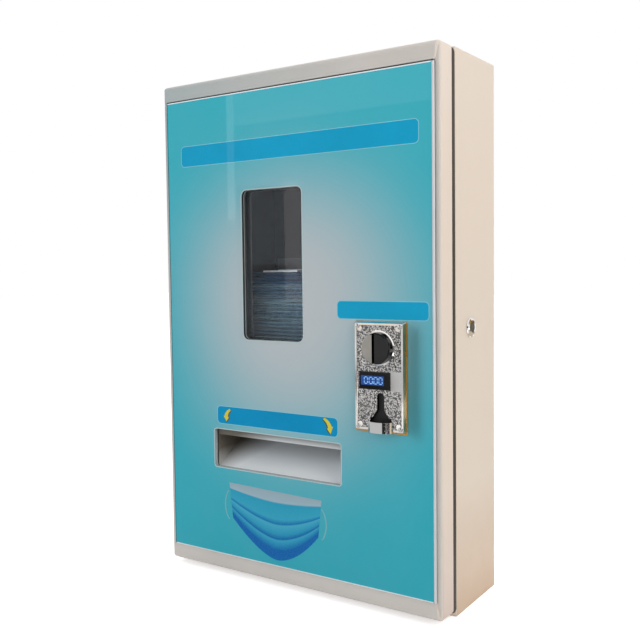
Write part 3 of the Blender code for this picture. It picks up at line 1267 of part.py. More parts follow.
def drive_gear():
    """The large gear on the feed shaft, with lightening holes and a hub."""
    centre = (SHAFT_Y, SHAFT_Z)
    outlines = [gear_outline(centre, GEAR_TEETH, -math.pi / 2)]
    web_radius = (GEAR_MODULE * GEAR_TEETH / 2 + GEAR_HUB_RADIUS) / 2
    for number in range(GEAR_WEB_HOLES):
        angle = 2 * math.pi * number / GEAR_WEB_HOLES
        middle = (centre[0] + web_radius * math.cos(angle), centre[1] + web_radius * math.sin(angle))
        outlines.append(circle(middle, GEAR_WEB_HOLE_RADIUS, PIN_STEPS))
    gear = plate("drive_gear", outlines, GEAR_X, GEAR_WIDTH, "X", "gear_plastic")
    hub = cylinder("drive_gear_hub", GEAR_HUB_RADIUS, (GEAR_X + GEAR_WIDTH / 2, *centre),
                   GEAR_WIDTH / 2 + GEAR_HUB_LENGTH, "X", steps=SMALL_ROUND_STEPS)
    bore = cylinder("drive_gear_bore", SHAFT_RADIUS + CLEARANCE, (GEAR_X - OVERRUN, *centre),
                    GEAR_WIDTH + GEAR_HUB_LENGTH + 2 * OVERRUN, "X", steps=SMALL_ROUND_STEPS)
    return cut(join(gear, hub), bore)


def motor_pinion():
    """The pinion on the gear motor's output shaft, in mesh below the drive gear."""
    phase = math.pi / 2 + math.pi / PINION_TEETH
    pinion = plate("motor_pinion", [gear_outline((SHAFT_Y, PINION_Z), PINION_TEETH, phase)],
                   GEAR_X, GEAR_WIDTH, "X", "bronze")
    end = MOTOR_X + MOTOR_GEARBOX_LENGTH / 2
    shaft = cylinder("pinion_shaft", MOTOR_SHAFT_RADIUS, (GEAR_X - PINION_SHAFT_END, SHAFT_Y, PINION_Z),
                     end - GEAR_X + PINION_SHAFT_END, "X", steps=SMALL_ROUND_STEPS)
    return join(pinion, shaft)


def gear_motor():
    """The gear motor: gearbox, motor can and the boss that centres it in its bracket."""
    length = MOTOR_GEARBOX_LENGTH + MOTOR_CAN_LENGTH
    bore = MOTOR_SHAFT_RADIUS + CLEARANCE
    bore_end = MOTOR_GEARBOX_LENGTH / 2 + CLEARANCE
    profile = [
        (0, length),
        (MOTOR_CAN_RADIUS, length),
        (MOTOR_CAN_RADIUS, MOTOR_GEARBOX_LENGTH),
        (MOTOR_GEARBOX_RADIUS, MOTOR_GEARBOX_LENGTH),
        (MOTOR_GEARBOX_RADIUS, 0),
        (MOTOR_BOSS_RADIUS, 0),
        (MOTOR_BOSS_RADIUS, -MOTOR_BOSS_LENGTH),
        (bore, -MOTOR_BOSS_LENGTH),
        (bore, bore_end),
        (0, bore_end),
    ]
    return turned("gear_motor", profile, (MOTOR_X, SHAFT_Y, PINION_Z), "X", "inner_steel", steps=TURNED_STEPS)


def motor_bracket():
    """The angle bracket that holds the gear motor on the back of the cabinet."""
    rear = BACK_INNER_Y - CLEARANCE
    base = PINION_Z - BRACKET_HEIGHT / 2
    web = box("motor_bracket", (BRACKET_X, SHAFT_Y - BRACKET_HEIGHT / 2, base),
              (BRACKET_X + BRACKET_SHEET, rear, base + BRACKET_HEIGHT), "inner_steel")
    flange = box("bracket_flange", (BRACKET_X, rear - BRACKET_SHEET, base),
                 (BRACKET_X + BRACKET_FLANGE, rear, base + BRACKET_HEIGHT))
    hole = cylinder("bracket_hole", MOTOR_BOSS_RADIUS + CLEARANCE,
                    (BRACKET_X - OVERRUN, SHAFT_Y, PINION_Z), BRACKET_SHEET + 2 * OVERRUN, "X",
                    steps=SMALL_ROUND_STEPS)
    return cut(join(web, flange), hole)


def feed_shaft():
    """The steel shaft through both bushes, the rollers and the drive gear."""
    start = 2 * MASK_X - CHEEK_X - BUSH_FLANGE - SHAFT_END
    end = GEAR_X + GEAR_WIDTH + GEAR_HUB_LENGTH
    return cylinder("feed_shaft", SHAFT_RADIUS, (start, SHAFT_Y, SHAFT_Z), end - start, "X",
                    "inner_steel", SMALL_ROUND_STEPS)


def feed_roller(name, side):
    """A rubber feed roller with two grooves round it and a narrower hub at each side."""
    half = ROLLER_WIDTH / 2
    groove = ROLLER_WIDTH * ROLLER_GROOVE_SHARE
    place = groove * GROOVE_PLACE_SHARE
    floor = groove * GROOVE_FLOOR_SHARE
    bore = SHAFT_RADIUS + CLEARANCE
    profile = [(bore, half), (ROLLER_HUB_RADIUS, half), (ROLLER_HUB_RADIUS, half - groove),
               (ROLLER_RADIUS, half - groove)]
    for middle in (place, -place):
        profile += [(ROLLER_RADIUS, middle + groove / 2), (ROLLER_RADIUS - ROLLER_GROOVE, middle + floor),
                    (ROLLER_RADIUS - ROLLER_GROOVE, middle - floor), (ROLLER_RADIUS, middle - groove / 2)]
    profile += [(ROLLER_RADIUS, groove - half), (ROLLER_HUB_RADIUS, groove - half),
                (ROLLER_HUB_RADIUS, -half), (bore, -half)]
    x = MASK_X + side * ROLLER_SPREAD / 2
    return turned(name, profile, (x, SHAFT_Y, SHAFT_Z), "X", "rubber", steps=TURNED_STEPS)


def shaft_bush(name, side):
    """A flanged bush in one cheek of the base."""
    profile = [
        (SHAFT_RADIUS + CLEARANCE, BUSH_FLANGE),
        (BUSH_FLANGE_RADIUS, BUSH_FLANGE),
        (BUSH_FLANGE_RADIUS, CLEARANCE),
        (BUSH_RADIUS, CLEARANCE),
        (BUSH_RADIUS, -BUSH_LENGTH),
        (SHAFT_RADIUS + CLEARANCE, -BUSH_LENGTH),
    ]
    if side < 0:
        profile = [(radius, -along) for radius, along in reversed(profile)]
    x = MASK_X + side * (CHEEK_X - MASK_X)
    return turned(name, profile, (x, SHAFT_Y, SHAFT_Z), "X", "bronze", steps=SMALL_ROUND_STEPS)


def board_place():
    """The control board's (left, base, rear) on its standoffs."""
    left = RIGHT_INNER - BOARD_FROM_RIGHT - BOARD_WIDTH
    return left, DOOR_BOTTOM + BOARD_ABOVE, BACK_INNER_Y - STANDOFF_HEIGHT - 2 * CLEARANCE


def control_board():
    """The control board with its relays, terminal strip and controller chip."""
    left, base, rear = board_place()
    front = rear - BOARD_THICKNESS
    board = box("control_board", (left, front, base), (left + BOARD_WIDTH, rear, base + BOARD_HEIGHT),
                "circuit_board")
    pitch = (BOARD_WIDTH - 2 * STANDOFF_FROM_EDGE) / RELAY_COUNT
    top = base + BOARD_HEIGHT - 2 * STANDOFF_FROM_EDGE
    for number in range(RELAY_COUNT):
        x = left + STANDOFF_FROM_EDGE + number * pitch + (pitch - RELAY_WIDTH) / 2
        join(board, box(f"relay_{number}", (x, front - RELAY_HEIGHT, top - RELAY_LENGTH),
                        (x + RELAY_WIDTH, front + BOARD_THICKNESS / 2, top)))
    strip_left = left + 2 * STANDOFF_FROM_EDGE
    join(board, box("terminal_strip", (strip_left, front - TERMINAL_HEIGHT, base + STANDOFF_FROM_EDGE / 2),
                    (left + BOARD_WIDTH - 2 * STANDOFF_FROM_EDGE, front + BOARD_THICKNESS / 2,
                     base + STANDOFF_FROM_EDGE / 2 + TERMINAL_DEPTH)))
    middle = base + BOARD_HEIGHT / 2
    join(board, box("controller_chip", (strip_left, front - CHIP_HEIGHT, middle - RELAY_WIDTH / 2),
                    (left + BOARD_WIDTH / 2, front + BOARD_THICKNESS / 2, middle + RELAY_WIDTH / 2)))
    return board


def board_standoff(name, right, top):
    """One of the four pillars between the board and the back."""
    left, base, rear = board_place()
    x = left + BOARD_WIDTH - STANDOFF_FROM_EDGE if right else left + STANDOFF_FROM_EDGE
    z = base + BOARD_HEIGHT - STANDOFF_FROM_EDGE if top else base + STANDOFF_FROM_EDGE
    return cylinder(name, STANDOFF_RADIUS, (x, rear + CLEARANCE, z), STANDOFF_HEIGHT, "Y", "bronze",
                    HEX_STEPS)


def power_supply():
    """The power supply: a vented case with a terminal step at its base."""
    left = LEFT_INNER + SUPPLY_FROM_LEFT
    base = SHEET + SUPPLY_ABOVE_FLOOR
    rear = BACK_INNER_Y - CLEARANCE
    front = rear - SUPPLY_DEPTH
    case = box("power_supply", (left, front, base), (left + SUPPLY_WIDTH, rear, base + SUPPLY_HEIGHT),
               "inner_steel")
    cut(case, box("supply_step", (left - OVERRUN, front - OVERRUN, base - OVERRUN),
                  (left + SUPPLY_WIDTH + OVERRUN, front + SUPPLY_STEP, base + SUPPLY_STEP_HEIGHT)))
    first = base + SUPPLY_STEP_HEIGHT + SUPPLY_STEP
    pitch = (base + SUPPLY_HEIGHT - SUPPLY_STEP - first) / SUPPLY_VENT_COUNT
    half = SUPPLY_WIDTH * SUPPLY_VENT_SHARE / 2
    middle = left + SUPPLY_WIDTH / 2
    for number in range(SUPPLY_VENT_COUNT):
        z = first + number * pitch
        cut(case, box(f"supply_vent_{number}", (middle - half, front - OVERRUN, z),
                      (middle + half, front + SUPPLY_VENT_DEPTH, z + SUPPLY_VENT_HEIGHT)))
    return case


def cable_grommet():
    """The rubber grommet for the mains cable, low in the left side."""
    y, z = grommet_place()
    outer = GROMMET_FLANGE
    inner = -SHEET - GROMMET_FLANGE
    profile = [
        (GROMMET_BORE_RADIUS, outer),
        (GROMMET_FLANGE_RADIUS - GROMMET_FLANGE / 2, outer),
        (GROMMET_FLANGE_RADIUS, outer / 2),
        (GROMMET_FLANGE_RADIUS, CLEARANCE),
        (GROMMET_NECK_RADIUS, CLEARANCE),
        (GROMMET_NECK_RADIUS, -SHEET - CLEARANCE),
        (GROMMET_FLANGE_RADIUS, -SHEET - CLEARANCE),
        (GROMMET_FLANGE_RADIUS, inner),
        (GROMMET_BORE_RADIUS, inner),
    ]
    mirrored = [(radius, -along) for radius, along in reversed(profile)]
    return turned("cable_grommet", mirrored, (LEFT, y, z), "X", "rubber", steps=SMALL_ROUND_STEPS)


def build_cabinet():
    """Everything that stays with the cabinet."""
    cabinet_shell()
    lock_housing()
    lock_nut()
    magazine()
    dispenser_base()
    exit_tray()
    for side, word in ((-1, "left"), (1, "right")):
        shaft_bush(f"shaft_bush_{word}", side)
    gear_motor()
    motor_bracket()
    coin_box()
    control_board()
    for right in (False, True):
        for top in (False, True):
            words = ("upper" if top else "lower") + ("_right" if right else "_left")
            board_standoff(f"board_standoff_{words}", right, top)
    power_supply()
    cable_grommet()
    for word, base in zip(("lower", "upper"), hinge_places()):
        hinge_leaf(f"hinge_{word}_cabinet_leaf", base, False)
        hinge_pin(f"hinge_{word}_pin", base)


def build_door():
    """The door, its skins, the coin selector and the return button, on the hinge axis."""
    nodes = [
        door_frame(),
        door_panel(),
        front_panel(),
        window_pane(),
        pane_retainer(),
        lock_catch(),
        coin_faceplate(),
        entry_half("entry_cheek", -1, PLATE_REAR_Y - CLEARANCE, "chrome"),
        display_module(),
        selector_body(),
        coin_chute(),
    ]
    for word, base in zip(("lower", "upper"), hinge_places()):
        nodes.append(hinge_leaf(f"hinge_{word}_door_leaf", base, True))
    door = pivot("door_pivot", (HINGE_X, HINGE_Y, DOOR_BOTTOM), nodes)
    button = entry_half("return_button", 1, BUTTON_REAR_Y, "black_gloss")
    slide = pivot("button_slide", (SELECTOR_X, BUTTON_REAR_Y, ENTRY_Z), [button])
    slide.parent = door
    slide.matrix_parent_inverse = Matrix.Translation((HINGE_X, HINGE_Y, DOOR_BOTTOM)).inverted()


def build_mechanism():
    """The pieces that turn or slide inside the cabinet, each on its own axis."""
    pivot("lock_pivot", (RIGHT, LOCK_Y, LOCK_Z), [lock_plug(), lock_cam()])
    pivot("follower_slide", (MASK_X, PACK_FRONT_Y, STACK_TOP), [follower_weight()])
    mask_stack()
    rollers = [feed_roller("feed_roller_left", -1), feed_roller("feed_roller_right", 1)]
    pivot("shaft_pivot", (MASK_X, SHAFT_Y, SHAFT_Z), [feed_shaft(), drive_gear(), *rollers])
    pivot("pinion_pivot", (GEAR_X, SHAFT_Y, PINION_Z), [motor_pinion()])


for old in list(bpy.data.objects):
    bpy.data.objects.remove(old, do_unlink=True)
PARTS = new_collection("face_mask_vending_machine")
CUTTERS = new_collection("cutters")
build_cabinet()
build_door()
build_mechanism()
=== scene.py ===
"""Dresses the face mask vending machine: studio, finishes, printed front, mask packs and small trim.

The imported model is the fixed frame. Sizes are in metres in that frame: the door looks towards -Y,
the wall is at +Y, and +Z is up. Places on the front are given from the door's lower left corner.
"""

import logging
import math
from collections.abc import Callable
from dataclasses import dataclass, replace
from enum import Enum

import bmesh
import bpy
import numpy as np
from mathutils import Matrix, Vector


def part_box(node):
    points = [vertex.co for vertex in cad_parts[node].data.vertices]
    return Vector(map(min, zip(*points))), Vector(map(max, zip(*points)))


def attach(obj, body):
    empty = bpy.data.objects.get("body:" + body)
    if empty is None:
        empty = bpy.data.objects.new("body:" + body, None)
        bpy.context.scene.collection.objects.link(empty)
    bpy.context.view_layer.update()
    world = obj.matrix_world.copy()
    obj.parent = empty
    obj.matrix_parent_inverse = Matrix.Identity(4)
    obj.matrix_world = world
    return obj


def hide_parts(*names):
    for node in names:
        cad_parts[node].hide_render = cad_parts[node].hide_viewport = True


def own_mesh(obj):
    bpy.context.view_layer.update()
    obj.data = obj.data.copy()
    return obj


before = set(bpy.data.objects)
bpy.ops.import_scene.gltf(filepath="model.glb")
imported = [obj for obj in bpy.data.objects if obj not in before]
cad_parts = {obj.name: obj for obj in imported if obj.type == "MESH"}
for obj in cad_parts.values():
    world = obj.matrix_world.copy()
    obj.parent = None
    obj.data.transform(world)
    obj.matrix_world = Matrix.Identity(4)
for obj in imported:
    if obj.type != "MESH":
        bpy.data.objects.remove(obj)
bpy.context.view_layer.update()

LOG = logging.getLogger("mask_machine")

Colour = tuple[float, float, float]
Shape = tuple[np.ndarray, list]

MM = 0.001
SUNK = 0.02 * MM
DOOR_CORNER = np.array([-0.200, 0.0068])
GLASS_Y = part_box("front_panel")[0].y
FIELD_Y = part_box("display_module")[0].y + 0.6 * MM


class Pattern(Enum):
    """The small relief that a finish has."""

    PEEL = "peel"
    BRUSHED = "brushed"
    CAST = "cast"


# ---------------------------------------------------------------- shapes


def rounded_outline(low: tuple, high: tuple, radius: float, steps: int = 6) -> np.ndarray:
    """Makes a rectangle with round corners, anticlockwise, each a quarter circle.

    Args:
        low: Lower left corner (x, z).
        high: Upper right corner (x, z).
        radius: Corner radius.
        steps: Points on each corner, less one.

    Returns:
        The points as an (n, 2) array.
    """
    turn = np.radians(np.linspace(0, 90, steps + 1))[None, :] + np.radians([0, 90, 180, 270])[:, None]
    left, base, right, top = low[0] + radius, low[1] + radius, high[0] - radius, high[1] - radius
    x = np.array([[right], [left], [left], [right]]) + radius * np.cos(turn)
    z = np.array([[top], [top], [base], [base]]) + radius * np.sin(turn)
    return np.column_stack([x.ravel(), z.ravel()])


def plate(outline: np.ndarray, front: float, back: float) -> Shape:
    """Makes a flat plate that looks towards -Y: the outline at two depths, joined by quads.

    Args:
        outline: Anticlockwise points (x, z).
        front: y of the front face.
        back: y of the rear face.

    Returns:
        The points and the faces.
    """
    count = len(outline)
    points = np.column_stack([np.tile(outline[:, 0], 2), np.repeat([front, back], count), np.tile(outline[:, 1], 2)])
    here = np.arange(count)
    after = (here + 1) % count
    sides = np.column_stack([here, here + count, after + count, after])
    return points, [here.tolist(), (here[::-1] + count).tolist()] + sides.tolist()


def band(outer: np.ndarray, inner: np.ndarray, front: float, back: float) -> Shape:
    """Makes a flat ring between two outlines with the same number of points.

    Args:
        outer: Anticlockwise points (x, z).
        inner: Points (x, z) that match the outer ones.
        front: y of the front face.
        back: y of the rear face.

    Returns:
        The points and the faces.
    """
    loops = [(outer, front), (outer, back), (inner, back), (inner, front)]
    rows = [np.column_stack([loop[:, 0], np.full(len(loop), y), loop[:, 1]]) for loop, y in loops]
    return grid(np.stack(rows), close_rows=True, close_columns=True)


def grid(points: np.ndarray, close_rows: bool = False, close_columns: bool = False) -> Shape:
    """Turns a grid of points into quads.

    Args:
        points: Array (rows, columns, 3).
        close_rows: True where the last row joins the first.
        close_columns: True where the last column joins the first.

    Returns:
        The points and the faces.
    """
    rows, columns = points.shape[:2]
    row = np.arange(rows if close_rows else rows - 1)
    column = np.arange(columns if close_columns else columns - 1)
    here, across = np.meshgrid(row, column, indexing="ij")
    down, right = (here + 1) % rows, (across + 1) % columns
    corners = [(here, across), (down, across), (down, right), (here, right)]
    quads = np.stack([line * columns + place for line, place in corners], -1)
    return points.reshape(-1, 3), quads.reshape(-1, 4).tolist()


def sides_of(axis: tuple) -> tuple:
    """Finds an axis's unit vector and two more at right angles to it.

    Args:
        axis: Direction of the axis.

    Returns:
        The three as arrays, the axis first.
    """
    along = Vector(axis).normalized()
    side = along.orthogonal().normalized()
    return np.array(along), np.array(side), np.array(along.cross(side))


def turned(profile: np.ndarray, centre: tuple, axis: tuple, steps: int = 20) -> Shape:
    """Turns a profile round an axis.

    A point at radius r and height h goes to centre + h along the axis + r round it.

    Args:
        profile: Points (radius, height).
        centre: Point on the axis at height 0.
        axis: Direction of the axis.
        steps: Points round the axis.

    Returns:
        The points and the faces.
    """
    along, side, third = sides_of(axis)
    turn = np.linspace(0, 2 * np.pi, steps, endpoint=False)[:, None]
    ring = np.cos(turn) * side + np.sin(turn) * third
    points = np.array(centre) + profile[:, None, 1, None] * along + profile[:, None, 0, None] * ring[None]
    return grid(points, close_columns=True)


def together(*shapes: Shape) -> Shape:
    """Puts several shapes in one.

    Args:
        shapes: Points and faces of each.

    Returns:
        The points and the faces of all.
    """
    starts = np.cumsum([0] + [len(points) for points, _ in shapes])
    faces = [[index + int(start) for index in face] for start, (_, some) in zip(starts, shapes) for face in some]
    return np.concatenate([points for points, _ in shapes]), faces


def block(low: tuple, high: tuple, radius: float) -> Shape:
    """Makes a small moulded block with round upright corners."""
    return plate(rounded_outline((low[0], low[2]), (high[0], high[2]), radius, 3), low[1], high[1])


def screw_head(place: tuple, way: tuple, radius: float, rise: float) -> Shape:
    """Makes one screw head as a height over a round grid.

    The dome is rise * sqrt(1 - (0.86 r)^2) at radius share r, and it drops by half the rise where a
    point lies within a ninth of the radius of either arm of the cross.

    Args:
        place: Middle of the seat.
        way: Direction that the head faces.
        radius: Radius of the head.
        rise: Height of the head.

    Returns:
        The points and the faces.
    """
    steps, arm_half, arm_reach = 32, 0.11, 0.65
    share = np.array([0.0, 0.12, 0.2, 0.3, 0.45, 0.6, 0.7, 0.85, 1.0, 1.0])[:, None]
    turn = np.linspace(0, 2 * np.pi, steps, endpoint=False)[None, :]
    across, up = share * np.cos(turn), share * np.sin(turn)
    dome = np.sqrt(np.clip(1 - (0.86 * share) ** 2, 0, 1)) + 0 * turn
    dome = dome - 0.5 * ((np.minimum(np.abs(across), np.abs(up)) < arm_half) & (share < arm_reach))
    dome[-1] = -0.02
    along, side, third = sides_of(way)
    flat = radius * across[..., None] * side + radius * up[..., None] * third
    points, faces = grid(np.array(place) + flat + rise * dome[..., None] * along, close_columns=True)
    return points, faces + [list(range(len(points) - steps, len(points)))]


class Assembly:
    """A group of pieces on one body."""

    body = "door"
    slot = "front_print"
    count = 0

    def build(self) -> int:
        """Builds the pieces and gives their number."""
        self.pieces()
        return self.count

    def add(self, name: str, finish: "Finish", *shapes: Shape, smooth: float = 35, bevel: float = 0,
            tones: dict | None = None, uv: np.ndarray | None = None) -> bpy.types.Object:
        """Makes one piece, dresses it and has it ride on its body.

        Args:
            name: The piece's name.
            finish: Its surface.
            shapes: Points and faces of each of its forms.
            smooth: Largest angle in degrees that still shades as one surface.
            bevel: Width of its rounded edges.
            tones: Values for each point, by attribute name.
            uv: Flat places (n, 2) for each point, where a pattern follows the surface.

        Returns:
            The new object.
        """
        points, faces = together(*shapes)
        mesh = bpy.data.meshes.new(name)
        mesh.from_pydata(points.tolist(), [], faces)
        for key, values in (tones or {}).items():
            mesh.attributes.new(key, "FLOAT", "POINT").data.foreach_set("value", np.asarray(values, float))
        if uv is not None:
            corner = np.empty(len(mesh.loops), int)
            mesh.loops.foreach_get("vertex_index", corner)
            mesh.uv_layers.new(name="UVMap").data.foreach_set("uv", uv[corner].ravel())
        self.mend(mesh, math.radians(smooth))
        mesh.materials.append(finish.material())
        made = bpy.data.objects.new(name, mesh)
        bpy.context.scene.collection.objects.link(made)
        if bevel:
            edge = made.modifiers.new("edge", "BEVEL")
            edge.width, edge.segments, edge.limit_method = bevel, 2, "ANGLE"
        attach(made, self.body)
        self.count += 1
        LOG.info("%s rides on %s, %d faces", name, self.body, len(faces))
        return made

    def mend(self, mesh: bpy.types.Mesh, smooth: float) -> None:
        """Closes seams and poles, turns the faces outwards and marks the sharp edges.

        Args:
            mesh: The mesh to mend.
            smooth: Largest angle of an edge that isn't sharp.
        """
        work = bmesh.new()
        work.from_mesh(mesh)
        bmesh.ops.remove_doubles(work, verts=work.verts, dist=1e-7)
        bmesh.ops.recalc_face_normals(work, faces=work.faces)
        for face in work.faces:
            face.smooth = True
        for edge in work.edges:
            edge.smooth = len(edge.link_faces) == 2 and edge.calc_face_angle(0) < smooth
        work.to_mesh(mesh)
        work.free()


# ---------------------------------------------------------------- finishes


def step(operation: str, swapped: bool = False) -> Callable:
    """Makes an operator of Value that adds one Math node.

    Args:
        operation: What the node does.
        swapped: True where the other number comes first.

    Returns:
        The operator.
    """

    def apply(self: "Value", other: object = 0.0) -> "Value":
        """Adds the node."""
        first, second = (other, self) if swapped else (self, other)
        return self.graph.value("Math", {0: first, 1: second}, operation=operation)

    return apply


class Value:
    """What a node gives at each point. Arithmetic on it adds Math nodes."""

    __add__, __sub__, __rsub__ = step("ADD"), step("SUBTRACT"), step("SUBTRACT", swapped=True)
    __mul__, __truediv__, __pow__ = step("MULTIPLY"), step("DIVIDE"), step("POWER")
    __lt__, __gt__, __abs__ = step("LESS_THAN"), step("GREATER_THAN"), step("ABSOLUTE")
    least, most, exponent, fold = step("MINIMUM"), step("MAXIMUM"), step("EXPONENT"), step("PINGPONG")

    def __init__(self, graph: "Graph", socket: bpy.types.NodeSocket) -> None:
        """Keeps the node's output."""
        self.graph = graph
        self.socket = socket

    def clamped(self) -> "Value":
        """Holds the last step's result from 0 to 1."""
        self.socket.node.use_clamp = True
        return self


class Graph:
    """A node tree with short ways to add nodes and join them."""

    def __init__(self, tree: bpy.types.NodeTree) -> None:
        """Keeps the tree that nodes go into."""
        self.tree = tree

    def put(self, kind: str, inputs: dict | None = None, **settings: object) -> bpy.types.Node:
        """Adds a node.

        Args:
            kind: The node's type, without its ShaderNode prefix.
            inputs: A number, colour or another node's output for each input, by name or number.
            settings: The node's own settings.

        Returns:
            The new node.
        """
        node = self.tree.nodes.new("ShaderNode" + kind)
        for name, value in settings.items():
            setattr(node, name, value)
        self.feed(node, inputs or {})
        return node

    def feed(self, node: bpy.types.Node, inputs: dict) -> None:
        """Links or sets a node's inputs.

        Args:
            node: The node.
            inputs: A number, colour, Value or socket for each input, by name or number.
        """
        for name, value in inputs.items():
            value = getattr(value, "socket", value)
            if isinstance(value, bpy.types.NodeSocket):
                self.tree.links.new(value, node.inputs[name])
            else:
                node.inputs[name].default_value = value

    def value(self, kind: str, inputs: dict | None = None, output: int | str = 0, **settings: object) -> Value:
        """Adds a node and gives one of its outputs."""
        return Value(self, self.put(kind, inputs, **settings).outputs[output])

    def vector(self, operation: str, *parts: object, output: int | str = 0) -> Value:
        """Works out one step of arithmetic on vectors."""
        return self.value("VectorMath", dict(enumerate(parts)), output, operation=operation)

    def blend(self, share: object, *colours: object) -> Value:
        """Mixes two colours by a share."""
        first, second = ((*colour, 1.0) if isinstance(colour, tuple) else colour for colour in colours)
        return self.value("Mix", {0: share, 6: first, 7: second}, 2, data_type="RGBA")

    def span(self, value: object, low: float, high: float, start: float = 0, end: float = 1) -> Value:
        """Maps low..high to start..end and holds it there."""
        return self.value("MapRange", {0: value, 1: low, 2: high, 3: start, 4: end})

    def noise(self, place: object, scale: float, detail: float = 3, rough: float = 0.55) -> Value:
        """Gives soft noise from 0 to 1 with this many grains in a metre."""
        return self.value("TexNoise", {"Vector": place, "Scale": scale, "Detail": detail, "Roughness": rough})

    def split(self, vector: object) -> tuple:
        """Splits a vector into x, y and z."""
        return tuple(Value(self, part) for part in self.put("SeparateXYZ", {0: vector}).outputs)

    def effect(self, name: str, inputs: dict) -> tuple:
        """Places a shared effect with its own values and gives its outputs."""
        node = self.put("Group", inputs, node_tree=EFFECTS.group(name))
        return tuple(Value(self, part) for part in node.outputs)


class Surface(Graph):
    """A material's node tree, with the place on the piece and its grain."""

    def __init__(self, tree: bpy.types.NodeTree, grains: float) -> None:
        """Adds the nodes that every material has.

        Args:
            tree: The material's node tree.
            grains: How many fine grains lie in a metre.
        """
        super().__init__(tree)
        self.place = self.value("TexCoord", output="Object")
        self.fine, self.cloud = self.effect("grain", {"Place": self.place, "Grains": grains})

    def facing(self) -> tuple:
        """Turns the true normal back to the piece's own frame.

        Returns:
            Its x, y and z.
        """
        true = self.value("NewGeometry", output="True Normal")
        settings = {"vector_type": "NORMAL", "convert_from": "WORLD", "convert_to": "OBJECT"}
        return self.split(self.value("VectorTransform", {0: true}, **settings))

    def cut(self) -> Value:
        """Gives 1 on the cut edges of a sheet that looks towards -Y."""
        return self.span(abs(self.facing()[1]), 0.5, 0.3)

    def within(self, middle: tuple, half: tuple) -> Value:
        """Gives 1 inside a box of this middle and half size."""
        return self.effect("within box", {"Place": self.place, "Middle": middle, "Half": half})[0]


class Effects:
    """The shared effects, each a node group that is built when it is first asked for.

    SOCKETS gives each effect's inputs with their usual values, and its outputs.
    """

    SOCKETS = {
        "grain": ({"Place": None, "Grains": 900.0}, ("Fine", "Cloud")),
        "edge wear": ({"Place": None, "Reach": 0.001, "Amount": 0.5}, ("Mask",)),
        "dust": ({"Place": None, "Amount": 0.2}, ("Mask",)),
        "brushed": ({"Place": None, "Along": (1.0, 1.0, 1.0)}, ("Lines",)),
        "hammered": ({"Place": None, "Dimples": 520.0}, ("Height",)),
        "within box": ({"Place": None, "Middle": (0.0, 0.0, 0.0), "Half": (1.0, 1.0, 1.0)}, ("Mask",)),
    }

    def group(self, name: str) -> bpy.types.NodeTree:
        """Finds or builds the node group of one effect.

        Args:
            name: A key of SOCKETS.

        Returns:
            The node group.
        """
        found = bpy.data.node_groups.get(name)
        if found:
            return found
        tree = bpy.data.node_groups.new(name, "ShaderNodeTree")
        inputs, outputs = self.SOCKETS[name]
        for key, value in inputs.items():
            kind = "NodeSocketFloat" if isinstance(value, float) else "NodeSocketVector"
            socket = tree.interface.new_socket(key, in_out="INPUT", socket_type=kind)
            if value is not None:
                socket.default_value = value
        for key in outputs:
            tree.interface.new_socket(key, in_out="OUTPUT", socket_type="NodeSocketFloat")
        graph = Graph(tree)
        given = tree.nodes.new("NodeGroupInput").outputs
        values = getattr(self, name.replace(" ", "_"))(graph, given)
        graph.feed(tree.nodes.new("NodeGroupOutput"), dict(zip(outputs, values)))
        return tree

    def grain(self, graph: Graph, given: object) -> tuple:
        """Fine noise of the given count a metre, and slow clouds twelve to the metre."""
        return graph.noise(given["Place"], given["Grains"], 2, 0.6), graph.noise(given["Place"], 12.0, 3, 0.5)

    def edge_wear(self, graph: Graph, given: object) -> tuple:
        """Marks edges where a rounded normal leans off the true one, broken up by noise.

        Args:
            graph: The group's graph.
            given: The group's inputs, by name.

        Returns:
            The group's outputs, in the order of SOCKETS.
        """
        rounded = graph.value("Bevel", {"Radius": given["Reach"]}, samples=4)
        normal = graph.value("NewGeometry", output="Normal")
        lean = graph.vector("DOT_PRODUCT", rounded, normal, output="Value")
        patches = graph.span(graph.noise(given["Place"], 160.0, 4), 0.45, 0.7)
        return ((graph.span(lean, 0.995, 0.86) * patches * given["Amount"]).clamped(),)

    def dust(self, graph: Graph, given: object) -> tuple:
        """Marks faces that look up, thicker where slow noise is high.

        Args:
            graph: The group's graph.
            given: The group's inputs, by name.

        Returns:
            The group's outputs, in the order of SOCKETS.
        """
        up = graph.split(graph.value("NewGeometry", output="Normal"))[2]
        patches = graph.span(graph.noise(given["Place"], 45.0, 5), 0.3, 0.75)
        return ((graph.span(up, 0.3, 1.0) * patches * given["Amount"]).clamped(),)

    def brushed(self, graph: Graph, given: object) -> tuple:
        """Stretches noise along one axis, so that it lies in lines."""
        return (graph.noise(graph.vector("MULTIPLY", given["Place"], given["Along"]), 1.0, 4, 0.7),)

    def hammered(self, graph: Graph, given: object) -> tuple:
        """Round dimples from cell distances, bent by noise and mixed with a finer set.

        Args:
            graph: The group's graph.
            given: The group's inputs, by name.

        Returns:
            The group's outputs, in the order of SOCKETS.
        """
        bent = graph.value("TexNoise", {"Vector": given["Place"], "Scale": 300.0}, 1)
        shift = graph.vector("MULTIPLY_ADD", bent, (1.6 * MM,) * 3, given["Place"])
        inputs = {"Vector": shift, "Scale": given["Dimples"], "Smoothness": 0.6}
        coarse = graph.value("TexVoronoi", inputs, "Distance", feature="SMOOTH_F1")
        return (coarse + graph.noise(given["Place"], 1500.0, 2) * 0.25,)

    def within_box(self, graph: Graph, given: object) -> tuple:
        """1 inside the box of this middle and half size, 0 outside.

        Args:
            graph: The group's graph.
            given: The group's inputs, by name.

        Returns:
            The group's outputs, in the order of SOCKETS.
        """
        away = graph.vector("ABSOLUTE", graph.vector("SUBTRACT", given["Place"], given["Middle"]))
        x, y, z = graph.split(graph.vector("SUBTRACT", given["Half"], away))
        return (x.least(y).least(z) > 0.0,)


EFFECTS = Effects()


